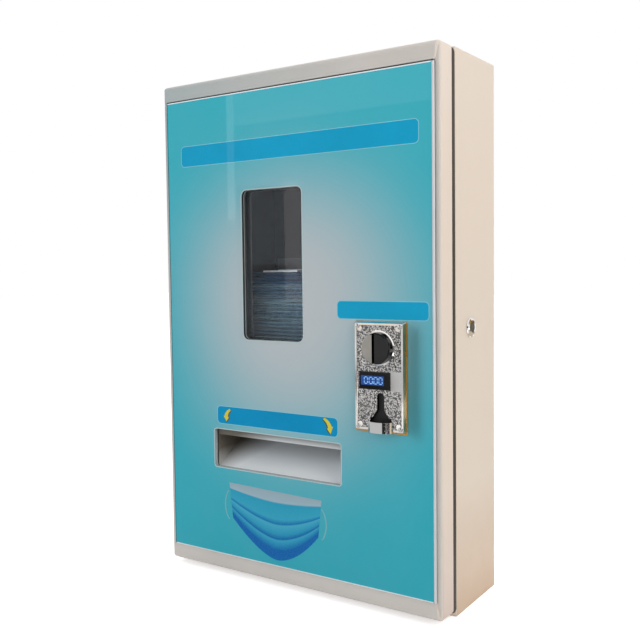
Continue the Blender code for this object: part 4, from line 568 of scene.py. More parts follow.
@dataclass(frozen=True)
class Finish:
    """A surface finish: its colour, gloss, small relief in micrometres, wear and dust."""

    name: str
    colour: Colour
    roughness: float = 0.45
    metallic: float = 0.0
    relief: float = 20.0
    tone: float = 0.06
    other: Colour | None = None
    pattern: Pattern = Pattern.CAST
    grains: float = 900.0
    along: tuple = (900.0, 900.0, 30.0)
    spread: float = 0.08
    wear: float = 0.3
    worn: Colour | None = None
    reach: float = 0.8 * MM
    dust: float = 0.1
    coat: float = 0.0
    coat_roughness: float = 0.05
    clear: float = 0.0
    bends: float = 1.5
    glow: float = 0.0
    specular: float = 0.5

    def like(self, name: str, colour: Colour, roughness: float, **changes: object) -> "Finish":
        """Makes a finish of the same kind with its own name and colour."""
        return replace(self, name=name, colour=colour, roughness=roughness, **changes)

    def times(self, *shares: float) -> Colour:
        """Multiplies the colour by a share for each channel, up to 1."""
        return tuple(min(value * share, 1.0) for value, share in zip(self.colour, shares))

    def material(self) -> bpy.types.Material:
        """Finds or builds this finish's material.

        Returns:
            The material.
        """
        found = bpy.data.materials.get(self.name)
        if found:
            return found
        made = bpy.data.materials.new(self.name)
        made.use_nodes = True
        on = Surface(made.node_tree, self.grains)
        colour, rough = self.age(on, self.paint(on), self.gloss(on))
        bump = on.value("Bump", {"Strength": 1.0, "Distance": self.relief * MM * MM, "Height": self.height(on)})
        inputs = {
            "Base Color": colour, "Roughness": rough, "Normal": bump, "Metallic": self.metallic, "IOR": self.bends,
            "Specular IOR Level": self.specular, "Coat Weight": self.coat, "Coat Roughness": self.coat_roughness,
            "Transmission Weight": self.clear,
        }
        if self.glow:
            inputs |= {"Emission Color": colour, "Emission Strength": self.glow}
        on.feed(made.node_tree.nodes["Principled BSDF"], inputs)
        return made

    def height(self, on: Surface) -> Value:
        """Works out the relief of this finish's pattern.

        Args:
            on: The material's surface.

        Returns:
            The height.
        """
        if self.pattern is Pattern.BRUSHED:
            return on.effect("brushed", {"Place": on.place, "Along": self.along})[0]
        return on.span(on.fine, 0.3, 0.7) if self.pattern is Pattern.PEEL else on.fine

    def paint(self, on: Surface) -> Value:
        """Works out the colour, which slow clouds carry towards another or a little lighter and darker.

        Args:
            on: The material's surface.

        Returns:
            The colour.
        """
        first = self.colour if self.other else self.times(*[1 - self.tone] * 3)
        return on.blend(on.span(on.cloud, 0.3, 0.7), first, self.other or self.times(*[1 + self.tone] * 3))

    def gloss(self, on: Surface) -> Value:
        """Works out the roughness, varied by slow smears and the fine grain.

        Args:
            on: The material's surface.

        Returns:
            The roughness.
        """
        both = on.noise(on.place, 30.0, 4) * 0.7 + on.fine * 0.3
        return on.span(both, 0.3, 0.7, max(self.roughness - self.spread, 0.0), self.roughness + self.spread)

    def age(self, on: Surface, colour: Value, rough: Value) -> tuple:
        """Adds worn edges and settled dust.

        Args:
            on: The material's surface.
            colour: The clean colour.
            rough: The clean roughness.

        Returns:
            The colour and roughness with worn edges and dust.
        """
        if self.wear:
            worn = self.worn or tuple(min(value * 1.25 + 0.02, 1.0) for value in self.colour)
            mask, = on.effect("edge wear", {"Place": on.place, "Reach": self.reach, "Amount": self.wear})
            colour, rough = on.blend(mask, colour, worn), (rough + mask * 0.15).clamped()
        if self.dust:
            mask, = on.effect("dust", {"Place": on.place, "Amount": self.dust})
            colour, rough = on.blend(mask, colour, (0.42, 0.40, 0.37)), (rough + mask * 0.4).clamped()
        return colour, rough


@dataclass(frozen=True)
class PrintedGlass(Finish):
    """The printed front: teal that fades to pale grey round the middle, under a gloss coat."""

    middle: tuple = (0.0019, 0.3688)
    reaches: tuple = (0.155, 0.144, 0.187)
    falloff: float = 2.8

    def paint(self, on: Surface) -> Value:
        """Fades by exp(-d ** falloff), where d is the distance to the middle in reaches.

        Args:
            on: The surface to paint.

        Returns:
            Its colour.
        """
        x, _, z = on.split(on.place)
        across = (x - self.middle[0]) / self.reaches[0]
        up = z - self.middle[1]
        above, below = up.most(0.0) / self.reaches[1], up.least(0.0) / self.reaches[2]
        total = across * across + above * above + below * below
        share = (total ** (self.falloff / 2) * -1.0).exponent()
        teal = on.blend(on.span(z, 0.03, 0.63), (0.004, 0.410, 0.515), (0.020, 0.458, 0.555))
        body = on.blend(share, teal, (0.522, 0.556, 0.575))
        body = on.blend(on.span(on.cloud, 0.3, 0.7, 0.0, 0.03), body, (0.5, 0.62, 0.66))
        # Painted shade: the cut edges above z 0.26, round the window, are painted dark; lower down they stay pale grey.
        edge = on.blend(on.span(z, 0.24, 0.26), (0.42, 0.47, 0.48), (0.035, 0.045, 0.050))
        return on.blend(on.cut(), body, edge)


@dataclass(frozen=True)
class CastChrome(Finish):
    """Chrome of the coin selector's face: hammered in the field, polished elsewhere."""

    rim: float = 4.6 * MM

    def dimples(self, on: Surface) -> tuple:
        """Works out the dimples and where they lie.

        Args:
            on: The material's surface.

        Returns:
            Their height, and 1 inside the sunk field except on the flat beside the display.
        """
        low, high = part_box("coin_faceplate")
        screen_low, screen_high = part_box("display_module")
        inside = on.within(((low.x + high.x) / 2, FIELD_Y, (low.z + high.z) / 2),
                           ((high.x - low.x) / 2 - self.rim, 0.3 * MM, (high.z - low.z) / 2 - self.rim))
        flat = on.within(((screen_high.x + high.x) / 2, FIELD_Y, (screen_low.z + screen_high.z) / 2),
                         ((high.x - screen_high.x) / 2, 2 * MM, (screen_high.z - screen_low.z) / 2 + 1.2 * MM))
        return on.effect("hammered", {"Place": on.place})[0], inside * (1.0 - flat)

    def height(self, on: Surface) -> Value:
        """Raises the dimples inside the field only."""
        dimples, field = self.dimples(on)
        return dimples * field

    def paint(self, on: Surface) -> Value:
        """Paints shade into the hollows between the dimples and into the return slot, and a gold reflection on the
        right side.

        Args:
            on: The surface to paint.

        Returns:
            Its colour.
        """
        dimples, field = self.dimples(on)
        # Painted shade in the hollows between the dimples.
        hollow_shade = on.span(dimples, 0.54, 0.72) * field
        body = on.blend(hollow_shade * 0.8, super().paint(on), (0.06, 0.056, 0.052))
        low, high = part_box("coin_faceplate")
        x, y, _ = on.split(on.place)
        # Painted reflection: gold on the right side face.
        side = on.span(on.facing()[0], 0.45, 0.8, 0.0, 0.75) * on.span(x, high.x - 3 * MM, high.x - 2 * MM)
        body = on.blend(side, body, (0.78, 0.50, 0.16))
        # Painted shade: the return slot's deeper faces near black.
        slot = on.within(((low.x + high.x) / 2 + 1.8 * MM, (low.y + high.y) / 2, 0.243), (0.0142, 0.02, 0.020))
        return on.blend(slot * on.span(y, FIELD_Y + 0.2 * MM, FIELD_Y + 0.5 * MM), body, (0.006, 0.006, 0.007))


@dataclass(frozen=True)
class PanelSheet(Finish):
    """The coated sheet behind the glass."""

    def paint(self, on: Surface) -> Value:
        """Paints the cut edges dark grey."""
        return on.blend(on.cut(), super().paint(on), (0.13, 0.135, 0.14))


@dataclass(frozen=True)
class FollowerCoatAndHighlight(Finish):
    """The follower's dark coat, with a bright painted highlight along its lower front lip."""

    lip: float = 0.4003

    def paint(self, on: Surface) -> Value:
        """Turns from the painted highlight's bright band to dark coat just above the lip."""
        above = on.span(on.split(on.place)[2], self.lip, self.lip + 1.2 * MM)
        # Painted highlight below the lip.
        return on.blend(above, (0.85, 0.86, 0.88), super().paint(on))


@dataclass(frozen=True)
class SideCoat(Finish):
    """A coat with painted light on its sides, lighter and warmer than its front, painted shade on its sides towards the
    base, and painted cool shade along the top of its front when a cool colour is given.
    """

    # Painted shade mixed into the sides towards the base.
    aged: Colour = (0.75, 0.61, 0.48)
    # Painted cool shade along the top of the front, towards the left.
    cool: Colour = (1.0, 1.0, 1.0)
    # Painted light: how much lighter and warmer the sides are than the front.
    warm: Colour = (1.0, 1.0, 1.0)

    def paint(self, on: Surface) -> Value:
        """Mixes in painted light on the sides, painted shade on the sides towards the base, and painted cool shade
        along the top of the front.

        Args:
            on: The surface to paint.

        Returns:
            Its colour.
        """
        x, _, z = on.split(on.place)
        front = on.facing()[1]
        side = on.span(abs(front), 0.7, 0.4)
        # Painted light: the sides lighter and warmer than the front.
        body = on.blend(side, super().paint(on), self.times(*self.warm))
        # Painted shade: darker and warmer on the sides towards the base.
        body = on.blend(on.span(z, 0.15, 0.0) * side, body, self.times(*self.aged))
        # Painted cool shade along the top of the front, towards the left.
        cool = on.span(x, 0.13, -0.19) * on.span(z, 0.3, 0.6) * on.span(front, -0.3, -0.8)
        return on.blend(cool, body, self.times(*self.cool))


@dataclass(frozen=True)
class TrayCoat(Finish):
    """The exit tray's coat, with painted shadow towards the left cheek and painted shade under the hood."""

    def paint(self, on: Surface) -> Value:
        """Mixes painted shadow, grey brown, into the clean coat along a slope from the upper left to the lower right,
        and grey painted shade under the hood.

        Args:
            on: The surface to paint.

        Returns:
            Its colour.
        """
        x, _, z = on.split(on.place)
        # Painted shadow from the left cheek: its edge runs from the upper left to the lower right.
        slope = x + 0.12 - (z - 0.146) * 1.5
        # Painted shade: grey on the hood above z 0.18.
        body = on.blend(on.span(z, 0.180, 0.192), super().paint(on), (0.38, 0.38, 0.37))
        return on.blend(on.span(slope, -0.030, 0.030), (0.155, 0.132, 0.105), body)


@dataclass(frozen=True)
class BoardFinish(Finish):
    """A circuit board: green lacquer with pale tracks and gilt holes."""

    half_pitch: float = 1.27 * MM

    def paint(self, on: Surface) -> Value:
        """Draws wandering tracks and, at the same pitch, spots where a square grid's corners lie.

        Args:
            on: The surface to paint.

        Returns:
            Its colour.
        """
        x, _, z = on.split(on.place)
        track = (x + on.noise(on.place, 26.0, 0) * 0.02).fold(self.half_pitch) < 0.4 * MM
        across, up = x.fold(self.half_pitch), z.fold(self.half_pitch)
        spots = (across * across + up * up) < 0.22 * MM * MM
        body = on.blend(track * 0.45, self.colour, (0.10, 0.42, 0.20))
        return on.blend(spots * (on.noise(on.place, 90.0, 0) > 0.52), body, (0.72, 0.55, 0.22))


@dataclass(frozen=True)
class FilmPack(Finish):
    """Clear film over a folded blue mask, each pack in its own tone."""

    def paint(self, on: Surface) -> Value:
        """Mixes two blues by the pack's tone, and paints shade into the crease between packs.

        Args:
            on: The surface to paint.

        Returns:
            Its colour.
        """
        tone, rim = (on.value("Attribute", output="Fac", attribute_name=name) for name in ("pack_tone", "pack_rim"))
        streak, = on.effect("brushed", {"Place": on.place, "Along": (30.0, 30.0, 2600.0)})
        body = on.blend(tone, self.colour, (0.80, 0.97, 1.0))
        body = on.blend(on.span(streak, 0.46, 0.62, 0.0, 0.45), body, (0.12, 0.38, 0.66))
        # Painted shade in the crease between packs.
        return on.blend(on.span(rim, 0.72, 1.0, 0.0, 0.95), body, (0.02, 0.05, 0.10))


@dataclass(frozen=True)
class PleatPrint(Finish):
    """A printed pleated band: pale at the top, then blue pleats that end in a deep blue point."""

    STOPS = (
        (0.00, (0.33, 0.44, 0.50)), (0.15, (0.36, 0.49, 0.56)), (0.17, (0.022, 0.35, 0.53)),
        (0.40, (0.035, 0.39, 0.57)), (0.47, (0.0, 0.17, 0.45)), (0.49, (0.06, 0.43, 0.60)),
        (0.62, (0.02, 0.32, 0.53)), (0.69, (0.0, 0.13, 0.42)), (0.71, (0.04, 0.39, 0.58)),
        (0.80, (0.01, 0.24, 0.49)), (0.86, (0.0, 0.125, 0.44)), (1.00, (0.0, 0.135, 0.45)),
    )

    def paint(self, on: Surface) -> Value:
        """Reads how far down the print a point is, and shades each pleat from light to deep.

        Args:
            on: The surface to paint.

        Returns:
            Its colour.
        """
        down = on.split(on.value("UVMap"))[1]
        ramp = on.put("ValToRGB", {0: down})
        marks = ramp.color_ramp.elements
        for index, (place, colour) in enumerate(self.STOPS):
            mark = marks[index] if index < 2 else marks.new(place)
            mark.position, mark.color = place, (*colour, 1)
        weave = on.span(on.noise(on.place, 700.0, 2), 0.35, 0.65, 0.0, 0.08)
        return on.blend(weave, ramp.outputs[0], (0.20, 0.50, 0.62))


PEEL = {"pattern": Pattern.PEEL, "grains": 800.0, "relief": 30.0, "tone": 0.03}
# Painted shade on the sides towards the base.
COAT = SideCoat("warm white powder coat", (0.712, 0.630, 0.548), 0.42, relief=50.0, tone=0.03, grains=620.0,
                pattern=Pattern.PEEL, wear=0.25, worn=(0.82, 0.78, 0.72), dust=0.08)
# Painted light on the sides, painted shade towards the base, and painted cool shade along the top of the front.
FRAME_COAT = COAT.like("light grey satin coat", (0.655, 0.605, 0.560), 0.34, grains=760.0, relief=40.0, wear=0.35,
                       worn=(0.84, 0.82, 0.79), dust=0.05, aged=(0.86, 0.74, 0.70), cool=(0.66, 0.80, 0.86),
                       warm=(1.12, 1.07, 1.03))
# Its paint holds painted shadow towards the left cheek and painted shade under the hood.
TRAY_COAT = TrayCoat("white tray coat", (0.950, 0.975, 0.990), 0.34, other=(0.90, 0.95, 0.98), dust=0.0, **PEEL)
SHEET_WHITE = Finish("white coated sheet", (0.780, 0.775, 0.760), 0.36, wear=0.2, dust=0.12, **PEEL)
PANEL_SHEET = PanelSheet("coated panel sheet", (0.74, 0.73, 0.71), 0.36, other=(0.80, 0.79, 0.77), wear=0.0,
                         dust=0.05, **PEEL)
MAGAZINE_GREY = Finish("dark coated sheet", (0.018, 0.022, 0.030), 0.40, relief=30.0, tone=0.12, grains=700.0,
                       pattern=Pattern.PEEL, wear=0.5, worn=(0.30, 0.30, 0.31), specular=0.03)
# Its lower front lip carries a painted highlight.
FOLLOWER = FollowerCoatAndHighlight("dark follower coat", (0.030, 0.034, 0.042), 0.32, 0.2, other=(0.05, 0.055, 0.065),
                        pattern=Pattern.PEEL, grains=700.0, wear=0.2, worn=(0.5, 0.5, 0.5), dust=0.0)
ZINC = Finish("zinc plated sheet", (0.56, 0.58, 0.60), 0.36, 0.92, 12.0, 0.09, pattern=Pattern.BRUSHED,
              along=(700.0, 700.0, 26.0), wear=0.35, dust=0.08)
SHAFT_STEEL = ZINC.like("drawn steel", (0.60, 0.60, 0.61), 0.24, metallic=0.98, along=(20.0, 1400.0, 1400.0),
                        relief=8.0, tone=0.06, wear=0.2, dust=0.03)
BRONZE = ZINC.like("machined bronze", (0.60, 0.40, 0.17), 0.28, metallic=1.0, along=(1600.0, 60.0, 60.0),
                   relief=10.0, tone=0.12, wear=0.3, dust=0.05)
CHROME = Finish("polished chrome", (0.80, 0.79, 0.78), 0.07, 1.0, 4.0, 0.04, spread=0.05, wear=0.2,
                worn=(0.88, 0.86, 0.82), dust=0.0)
# Painted shade: a darker copy of the chrome, for the coin entry's cheek.
SHADED_CHROME = CHROME.like("shaded chrome", (0.40, 0.39, 0.365), 0.10, tone=0.25, worn=(0.8, 0.78, 0.74))
CHROME_FACE = CastChrome("cast chrome face", (0.88, 0.86, 0.84), 0.085, 1.0, 1800.0, other=(0.97, 0.96, 0.95),
                         spread=0.05, wear=0.15, worn=(0.9, 0.86, 0.8), reach=0.5 * MM, dust=0.0)
YELLOW_ZINC = Finish("yellow zinc plate", (0.78, 0.40, 0.08), 0.30, 0.9, 10.0, 0.25, spread=0.12, wear=0.4,
                     worn=(0.90, 0.72, 0.45), dust=0.0)
SCREW = Finish("zinc screw", (0.62, 0.62, 0.60), 0.28, 1.0, 10.0, 0.1, wear=0.4, dust=0.06)
BLACK = Finish("matt black plastic", (0.020, 0.020, 0.021), 0.52, 0.0, 30.0, 0.15, grains=1600.0, wear=0.25,
               worn=(0.07, 0.07, 0.07), dust=0.12)
RETAINER_GREY = BLACK.like("dark grey plastic", (0.13, 0.13, 0.132), 0.40, grains=1400.0, relief=20.0, tone=0.12,
                           wear=0.3, worn=(0.13, 0.13, 0.13), dust=0.1)
RUBBER = BLACK.like("roller rubber", (0.030, 0.029, 0.028), 0.78, grains=2400.0, relief=40.0, tone=0.2, wear=0.4,
                    worn=(0.09, 0.085, 0.08), dust=0.2)
NYLON = BLACK.like("moulded gear plastic", (0.70, 0.69, 0.62), 0.42, grains=1300.0, relief=20.0, tone=0.05,
                   wear=0.3, worn=(0.80, 0.79, 0.74), dust=0.08)
# Painted shade: dark strips for the gap behind the door and the gap under the top rail.
GAP_SHADE = BLACK.like("dark gap shade", (0.055, 0.046, 0.038), 0.62, grains=1800.0, tone=0.2, wear=0.0, dust=0.1)
RELAY_BLUE = Finish("relay plastic", (0.02, 0.10, 0.38), 0.34, 0.0, 10.0, 0.08, grains=1500.0, wear=0.2)
TERMINAL_GREEN = RELAY_BLUE.like("terminal plastic", (0.03, 0.30, 0.12), 0.38)
CAN_FOIL = Finish("capacitor sleeve", (0.03, 0.035, 0.05), 0.30, 0.0, 10.0, 0.2, wear=0.2, dust=0.08)
BOARD = BoardFinish("green circuit board", (0.012, 0.16, 0.065), 0.32, grains=1800.0, wear=0.0, dust=0.08)
GLOSS_BLACK = Finish("gloss black", (0.008, 0.008, 0.009), 0.10, 0.0, 5.0, 0.2, wear=0.1, worn=(0.05, 0.05, 0.05),
                     dust=0.0, coat=0.1, specular=0.35)
PANE = Finish("clear pane", (0.86, 0.89, 0.91), 0.015, 0.0, 3.0, 0.01, grains=90.0, spread=0.01, wear=0.0, dust=0.0,
              clear=1.0, bends=1.38)
FILM = FilmPack("film packed masks", (0.006, 0.20, 0.42), 0.30, 0.0, 450.0, grains=420.0, spread=0.12, wear=0.0,
                dust=0.0, coat=0.15, coat_roughness=0.12, specular=0.3)
# Painted highlight: the pale bead up the glass's right edge.
BEAD_HIGHLIGHT = Finish("satin bead highlight", (0.68, 0.70, 0.73), 0.30, 0.0, 6.0, 0.04, wear=0.2, dust=0.0)
# Painted highlight on the glass's bevels, with a faint glow though it is no lamp.
EDGE_HIGHLIGHT = Finish("glass edge highlight", (0.84, 0.88, 0.90), 0.16, 0.0, 6.0, 0.04, wear=0.0, dust=0.04, coat=0.8,
                  glow=0.08)
INK = {"relief": 4.0, "wear": 0.0, "dust": 0.0}
PRINT = PrintedGlass("printed front", (0.02, 0.4, 0.47), 0.30, spread=0.03, coat=1.0, coat_roughness=0.02,
                     specular=0.1, **INK)
PLEATS = PleatPrint("pleated print", (0.02, 0.30, 0.45), 0.30, spread=0.03, coat=0.2, coat_roughness=0.02,
                    specular=0.05, **INK)
LABEL_BLUE = Finish("blue label", (0.0, 0.365, 0.615), 0.28, tone=0.05, spread=0.03, coat=0.45, coat_roughness=0.02,
                    specular=0.05, **INK)
LABEL_DEEP = LABEL_BLUE.like("deep blue label", (0.0, 0.290, 0.560), 0.28, coat=0.2)
LABEL_RIM = LABEL_BLUE.like("pale label rim", (0.26, 0.62, 0.70), 0.28, tone=0.04, coat=0.6, specular=0.1)
# Painted highlight for the bright rims round the window and the exit.
OPENING_HIGHLIGHT = LABEL_BLUE.like("cut edge highlight", (0.50, 0.60, 0.61), 0.25, coat=0.6, coat_roughness=0.05, specular=0.2)
ARROW_YELLOW = LABEL_BLUE.like("yellow arrow", (0.70, 0.60, 0.02), 0.30, tone=0.1, coat=0.3, specular=0.5)
ARROW_DARK = ARROW_YELLOW.like("dark arrow edge", (0.012, 0.055, 0.075), 0.30, coat=1.0)
LOOP_PRINT = Finish("pale printed loop", (0.16, 0.46, 0.52), 0.30, tone=0.08, coat=1.0, coat_roughness=0.02, **INK)
# Painted shade on the glass's left bevel.
EDGE_SHADE = Finish("glass edge shade", (0.004, 0.11, 0.14), 0.3, tone=0.1, specular=0.1, **INK)
SCREEN = Finish("lit display", (0.006, 0.045, 0.22), 0.22, tone=0.2, coat=0.4, glow=0.45, **INK)
DIGITS = Finish("lit digits", (0.22, 0.48, 0.85), 0.3, tone=0.05, glow=0.55, **INK)


class Dresser:
    """Gives every carried over node of the frame its finish."""

    COATS = {
        "powder_coat": COAT, "frame_coat": FRAME_COAT, "inner_steel": ZINC, "white_sheet": SHEET_WHITE,
        "front_print": PRINT, "clear_pane": PANE, "chrome": CHROME, "black_gloss": GLOSS_BLACK,
        "black_plastic": BLACK, "mask_pack": FILM, "rubber": RUBBER, "bronze": BRONZE,
        "gear_plastic": NYLON, "circuit_board": BOARD,
    }
    OWN = {
        "exit_tray": TRAY_COAT, "entry_cheek": SHADED_CHROME, "magazine": MAGAZINE_GREY, "follower_weight": FOLLOWER,
        "door_panel": PANEL_SHEET, "coin_faceplate": CHROME_FACE, "pane_retainer": RETAINER_GREY,
        "feed_shaft": SHAFT_STEEL, "hinge_lower_pin": SHAFT_STEEL, "hinge_upper_pin": SHAFT_STEEL,
    }

    def build(self) -> int:
        """Puts a material in each node's slots.

        Returns:
            How many nodes there are.
        """
        for name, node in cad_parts.items():
            slot = node.data.materials[0].name.split(".")[0]
            finish = self.OWN.get(name) or self.COATS[slot]
            for place in node.material_slots:
                place.material = finish.material()
        return len(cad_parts)


# ---------------------------------------------------------------- studio


@dataclass
class Studio:
    """Camera, white surroundings, soft lamps and the cards that shiny surfaces show."""

    eye: tuple = (0.5861, -0.93125, 0.4065)
    yaw: float = 0.6231
    pitch: float = -0.0533
    roll: float = -0.0153
    lens: float = 47.87
    shift: tuple = (0.0817, -0.0142)
    ambient: float = 0.50

    # Upright cards: name, first and second foot (x, y), lower and upper z, light.
    WALLS = (
        ("grey wall right", (-1.85, -2.35), (-0.60, -2.35), (0.0, 1.05), (0.50, 0.52, 0.54)),
        ("grey wall left", (-2.6, -2.35), (-1.85, -2.35), (0.0, 1.6), (0.50, 0.52, 0.54)),
        ("pale streak", (-1.881, -2.34), (-1.838, -2.34), (0.62, 1.5), (1.5, 1.55, 1.6)),
        ("pale strip", (-1.56, -2.32), (-1.47, -2.32), (0.24, 0.77), (1.25, 1.15, 1.15)),
        ("dim patch", (-1.82, -2.33), (-1.47, -2.33), (0.06, 0.77), (0.03, 0.045, 0.065)),
        ("dark wall", (-0.60, -2.3), (0.25, -2.3), (0.0, 1.9), (0.012, 0.012, 0.014)),
        ("dark wall right", (1.0, -1.9), (2.4, -1.5), (0.0, 1.3), (0.020, 0.018, 0.016)),
        ("pale patch high", (-1.206, -2.33), (-0.976, -2.33), (0.005, 0.125), (0.86, 0.84, 0.82)),
        ("beige patch", (-1.206, -2.33), (-0.976, -2.33), (0.135, 0.18), (0.95, 0.84, 0.68)),
        ("low wall", (0.8, 2.3), (2.3, 2.3), (0.002, 0.34), (0.15, 0.125, 0.095)),
        ("olive wall", (1.7, -0.9), (1.7, 0.30), (0.0, 1.3), (0.10, 0.088, 0.062)),
        ("gold wall", (1.7, 0.75), (1.7, 1.6), (0.0, 1.2), (0.50, 0.29, 0.08)),
        ("brown wall", (1.7, 1.6), (1.7, 2.4), (0.0, 1.2), (0.10, 0.055, 0.03)),
        ("amber wall", (1.7, 2.4), (1.7, 4.2), (0.0, 1.2), (0.45, 0.17, 0.03)),
    )

    # Cards that lie flat: name, z, four corners (x, y), light.
    MATS = (
        ("grey mat", 0.004, ((-2.6, -2.35), (0.30, -2.35), (0.30, -0.09), (-2.6, -0.09)), (0.52, 0.53, 0.54)),
        ("dark strip", 0.006, ((0.30, -2.0), (0.75, -2.0), (0.55, -0.12), (0.28, -0.12)), (0.02, 0.02, 0.02)),
        ("brown patch", 0.008, ((-1.01, -1.96), (-0.84, -1.96), (-0.60, -1.52), (-0.74, -1.52)),
         (0.12, 0.10, 0.085)),
        ("pale patch low", 0.008, ((-0.66, -1.40), (-0.50, -1.40), (-0.32, -1.03), (-0.455, -1.03)),
         (1.05, 1.03, 1.0)),
        ("brown mat", 0.003, ((0.30, -0.05), (1.6, -0.05), (2.2, 2.29), (0.30, 2.29)), (0.62, 0.54, 0.43)),
        ("dark mat", 0.003, ((0.75, -1.1), (1.35, -1.1), (1.35, -0.25), (0.75, -0.25)), (0.06, 0.06, 0.06)),
    )

    def build(self) -> int:
        """Builds everything round the object.

        Returns:
            How many cards there are.
        """
        bpy.context.scene.view_settings.view_transform = "Standard"
        self.camera()
        self.surroundings()
        size = 9.0
        self.sheet("floor", self.flat(0, ((-size, -size), (size, -size), (size, size), (-size, size))), self.floor)
        self.lamp("key lamp", (2.3, -0.45, 1.75), 2.2, 41.0, (1.0, 0.945, 0.87))
        self.lamp("front lamp", (-0.9, -2.4, 1.5), 2.4, 15.0, (0.90, 0.98, 1.08))
        self.lamp("rear lamp", (-1.2, 1.9, 1.8), 2.2, 30.0, (1.0, 1.0, 1.0))
        self.flag()
        cards = [(name, self.upright(first, second, *rise), light) for name, first, second, rise, light in self.WALLS]
        cards += [(name, self.flat(z, corners), light) for name, z, corners, light in self.MATS]
        ceiling = [(-2.6, -2.3, 1.7), (0.25, -2.3, 1.7), (0.25, -1.0, 2.3), (-2.6, -1.0, 2.3)]
        cards.append(("dark ceiling", ceiling, (0.02, 0.02, 0.024)))
        for card in cards:
            self.card(*card)
        return len(cards)

    @staticmethod
    def upright(first: tuple, second: tuple, low: float, high: float) -> list:
        """Gives the corners of an upright sheet on two feet."""
        return [(*first, low), (*second, low), (*second, high), (*first, high)]

    @staticmethod
    def flat(z: float, corners: tuple) -> list:
        """Gives the corners of a sheet that lies flat."""
        return [(*corner, z) for corner in corners]

    def camera(self) -> None:
        """Turns yaw, pitch and roll into the camera's axes, as the photograph was taken."""
        level = math.cos(self.pitch)
        forward = Vector((-math.sin(self.yaw) * level, math.cos(self.yaw) * level, math.sin(self.pitch)))
        right = Vector((math.cos(self.yaw), math.sin(self.yaw), 0))
        up = right.cross(forward)
        across = math.cos(self.roll) * right + math.sin(self.roll) * up
        rise = -math.sin(self.roll) * right + math.cos(self.roll) * up
        lens = bpy.data.cameras.new("camera")
        lens.lens, lens.sensor_width, lens.clip_start = self.lens, 36, 0.01
        lens.shift_x, lens.shift_y = self.shift
        eye = bpy.data.objects.new("camera", lens)
        eye.matrix_world = Matrix.Translation(self.eye) @ Matrix((across, rise, -forward)).transposed().to_4x4()
        bpy.context.scene.collection.objects.link(eye)
        bpy.context.scene.camera = eye

    def seen(self, graph: Graph) -> Value:
        """Gives 1 to rays from the camera, from gloss and through glass."""
        rays = graph.put("LightPath").outputs
        return Value(graph, rays["Is Camera Ray"]).most(rays["Is Glossy Ray"]).most(rays["Is Transmission Ray"])

    def surroundings(self) -> None:
        """Makes the world white to the eye and a plain level to surfaces."""
        world = bpy.data.worlds.new("studio")
        bpy.context.scene.world = world
        world.use_nodes = True
        graph = Graph(world.node_tree)
        level = graph.span(self.seen(graph), 0.0, 1.0, self.ambient, 1.0)
        graph.feed(world.node_tree.nodes["Background"], {"Color": (1, 1, 1, 1), "Strength": level})

    def floor(self, graph: Graph) -> bpy.types.Node:
        """Makes matt white that keeps shadows, with a glow that only the eye and shiny surfaces see.

        Args:
            graph: The floor's node tree.

        Returns:
            The last shader node.
        """
        matt = graph.value("BsdfDiffuse", {"Color": (0.86, 0.86, 0.86, 1)})
        away = graph.vector("LENGTH", graph.value("NewGeometry", output="Position"), output="Value")
        level = self.seen(graph) * graph.span(away, 0.30, 1.2, 0.60, 0.80)
        lift = graph.value("Emission", {"Color": (1, 1, 1, 1), "Strength": level})
        return graph.put("AddShader", {0: matt, 1: lift})

    def lamp(self, name: str, place: tuple, size: float, watts: float, colour: Colour) -> None:
        """Hangs a soft square lamp that looks at the middle of the object.

        Args:
            name: The lamp's name.
            place: Where it hangs.
            size: Length of its side.
            watts: Its power.
            colour: Its colour.
        """
        light = bpy.data.lights.new(name, "AREA")
        light.size, light.energy, light.color = size, watts, colour
        made = bpy.data.objects.new(name, light)
        aim = Vector((0, 0, 0.32)) - Vector(place)
        made.matrix_world = Matrix.Translation(place) @ aim.to_track_quat("-Z", "Y").to_matrix().to_4x4()
        bpy.context.scene.collection.objects.link(made)
        made.visible_glossy = False

    def sheet(self, name: str, corners: list, shade: Callable) -> bpy.types.Object:
        """Puts a flat sheet on the stage.

        Args:
            name: What the sheet is.
            corners: Its four corners in turn.
            shade: Adds the sheet's shader to a graph and gives its last node.

        Returns:
            The new object.
        """
        mesh = bpy.data.meshes.new(name)
        mesh.from_pydata(corners, [], [(0, 1, 2, 3)])
        look = bpy.data.materials.new(name)
        look.use_nodes = True
        look.node_tree.nodes.clear()
        graph = Graph(look.node_tree)
        graph.put("OutputMaterial", {0: shade(graph).outputs[0]})
        mesh.materials.append(look)
        made = bpy.data.objects.new(name, mesh)
        bpy.context.scene.collection.objects.link(made)
        return made

    def card(self, name: str, corners: list, light: Colour) -> None:
        """Stands a glowing card that only shiny surfaces show."""
        card = self.sheet(name, corners, lambda graph: graph.put("Emission", {"Color": (*light, 1), "Strength": 1.0}))
        card.visible_camera = card.visible_diffuse = card.visible_transmission = card.visible_shadow = False

    def flag(self) -> None:
        """Stands a small black flag that only shades the glass right of the coin selector."""
        corners = self.upright((0.1595, -0.083), (0.1720, -0.083), 0.214, 0.338)
        flag = self.sheet("flag", corners, lambda graph: graph.put("BsdfDiffuse", {"Color": (0.03, 0.02, 0.01, 1)}))
        flag.visible_camera = flag.visible_glossy = flag.visible_transmission = False


# ---------------------------------------------------------------- the front's print and trim


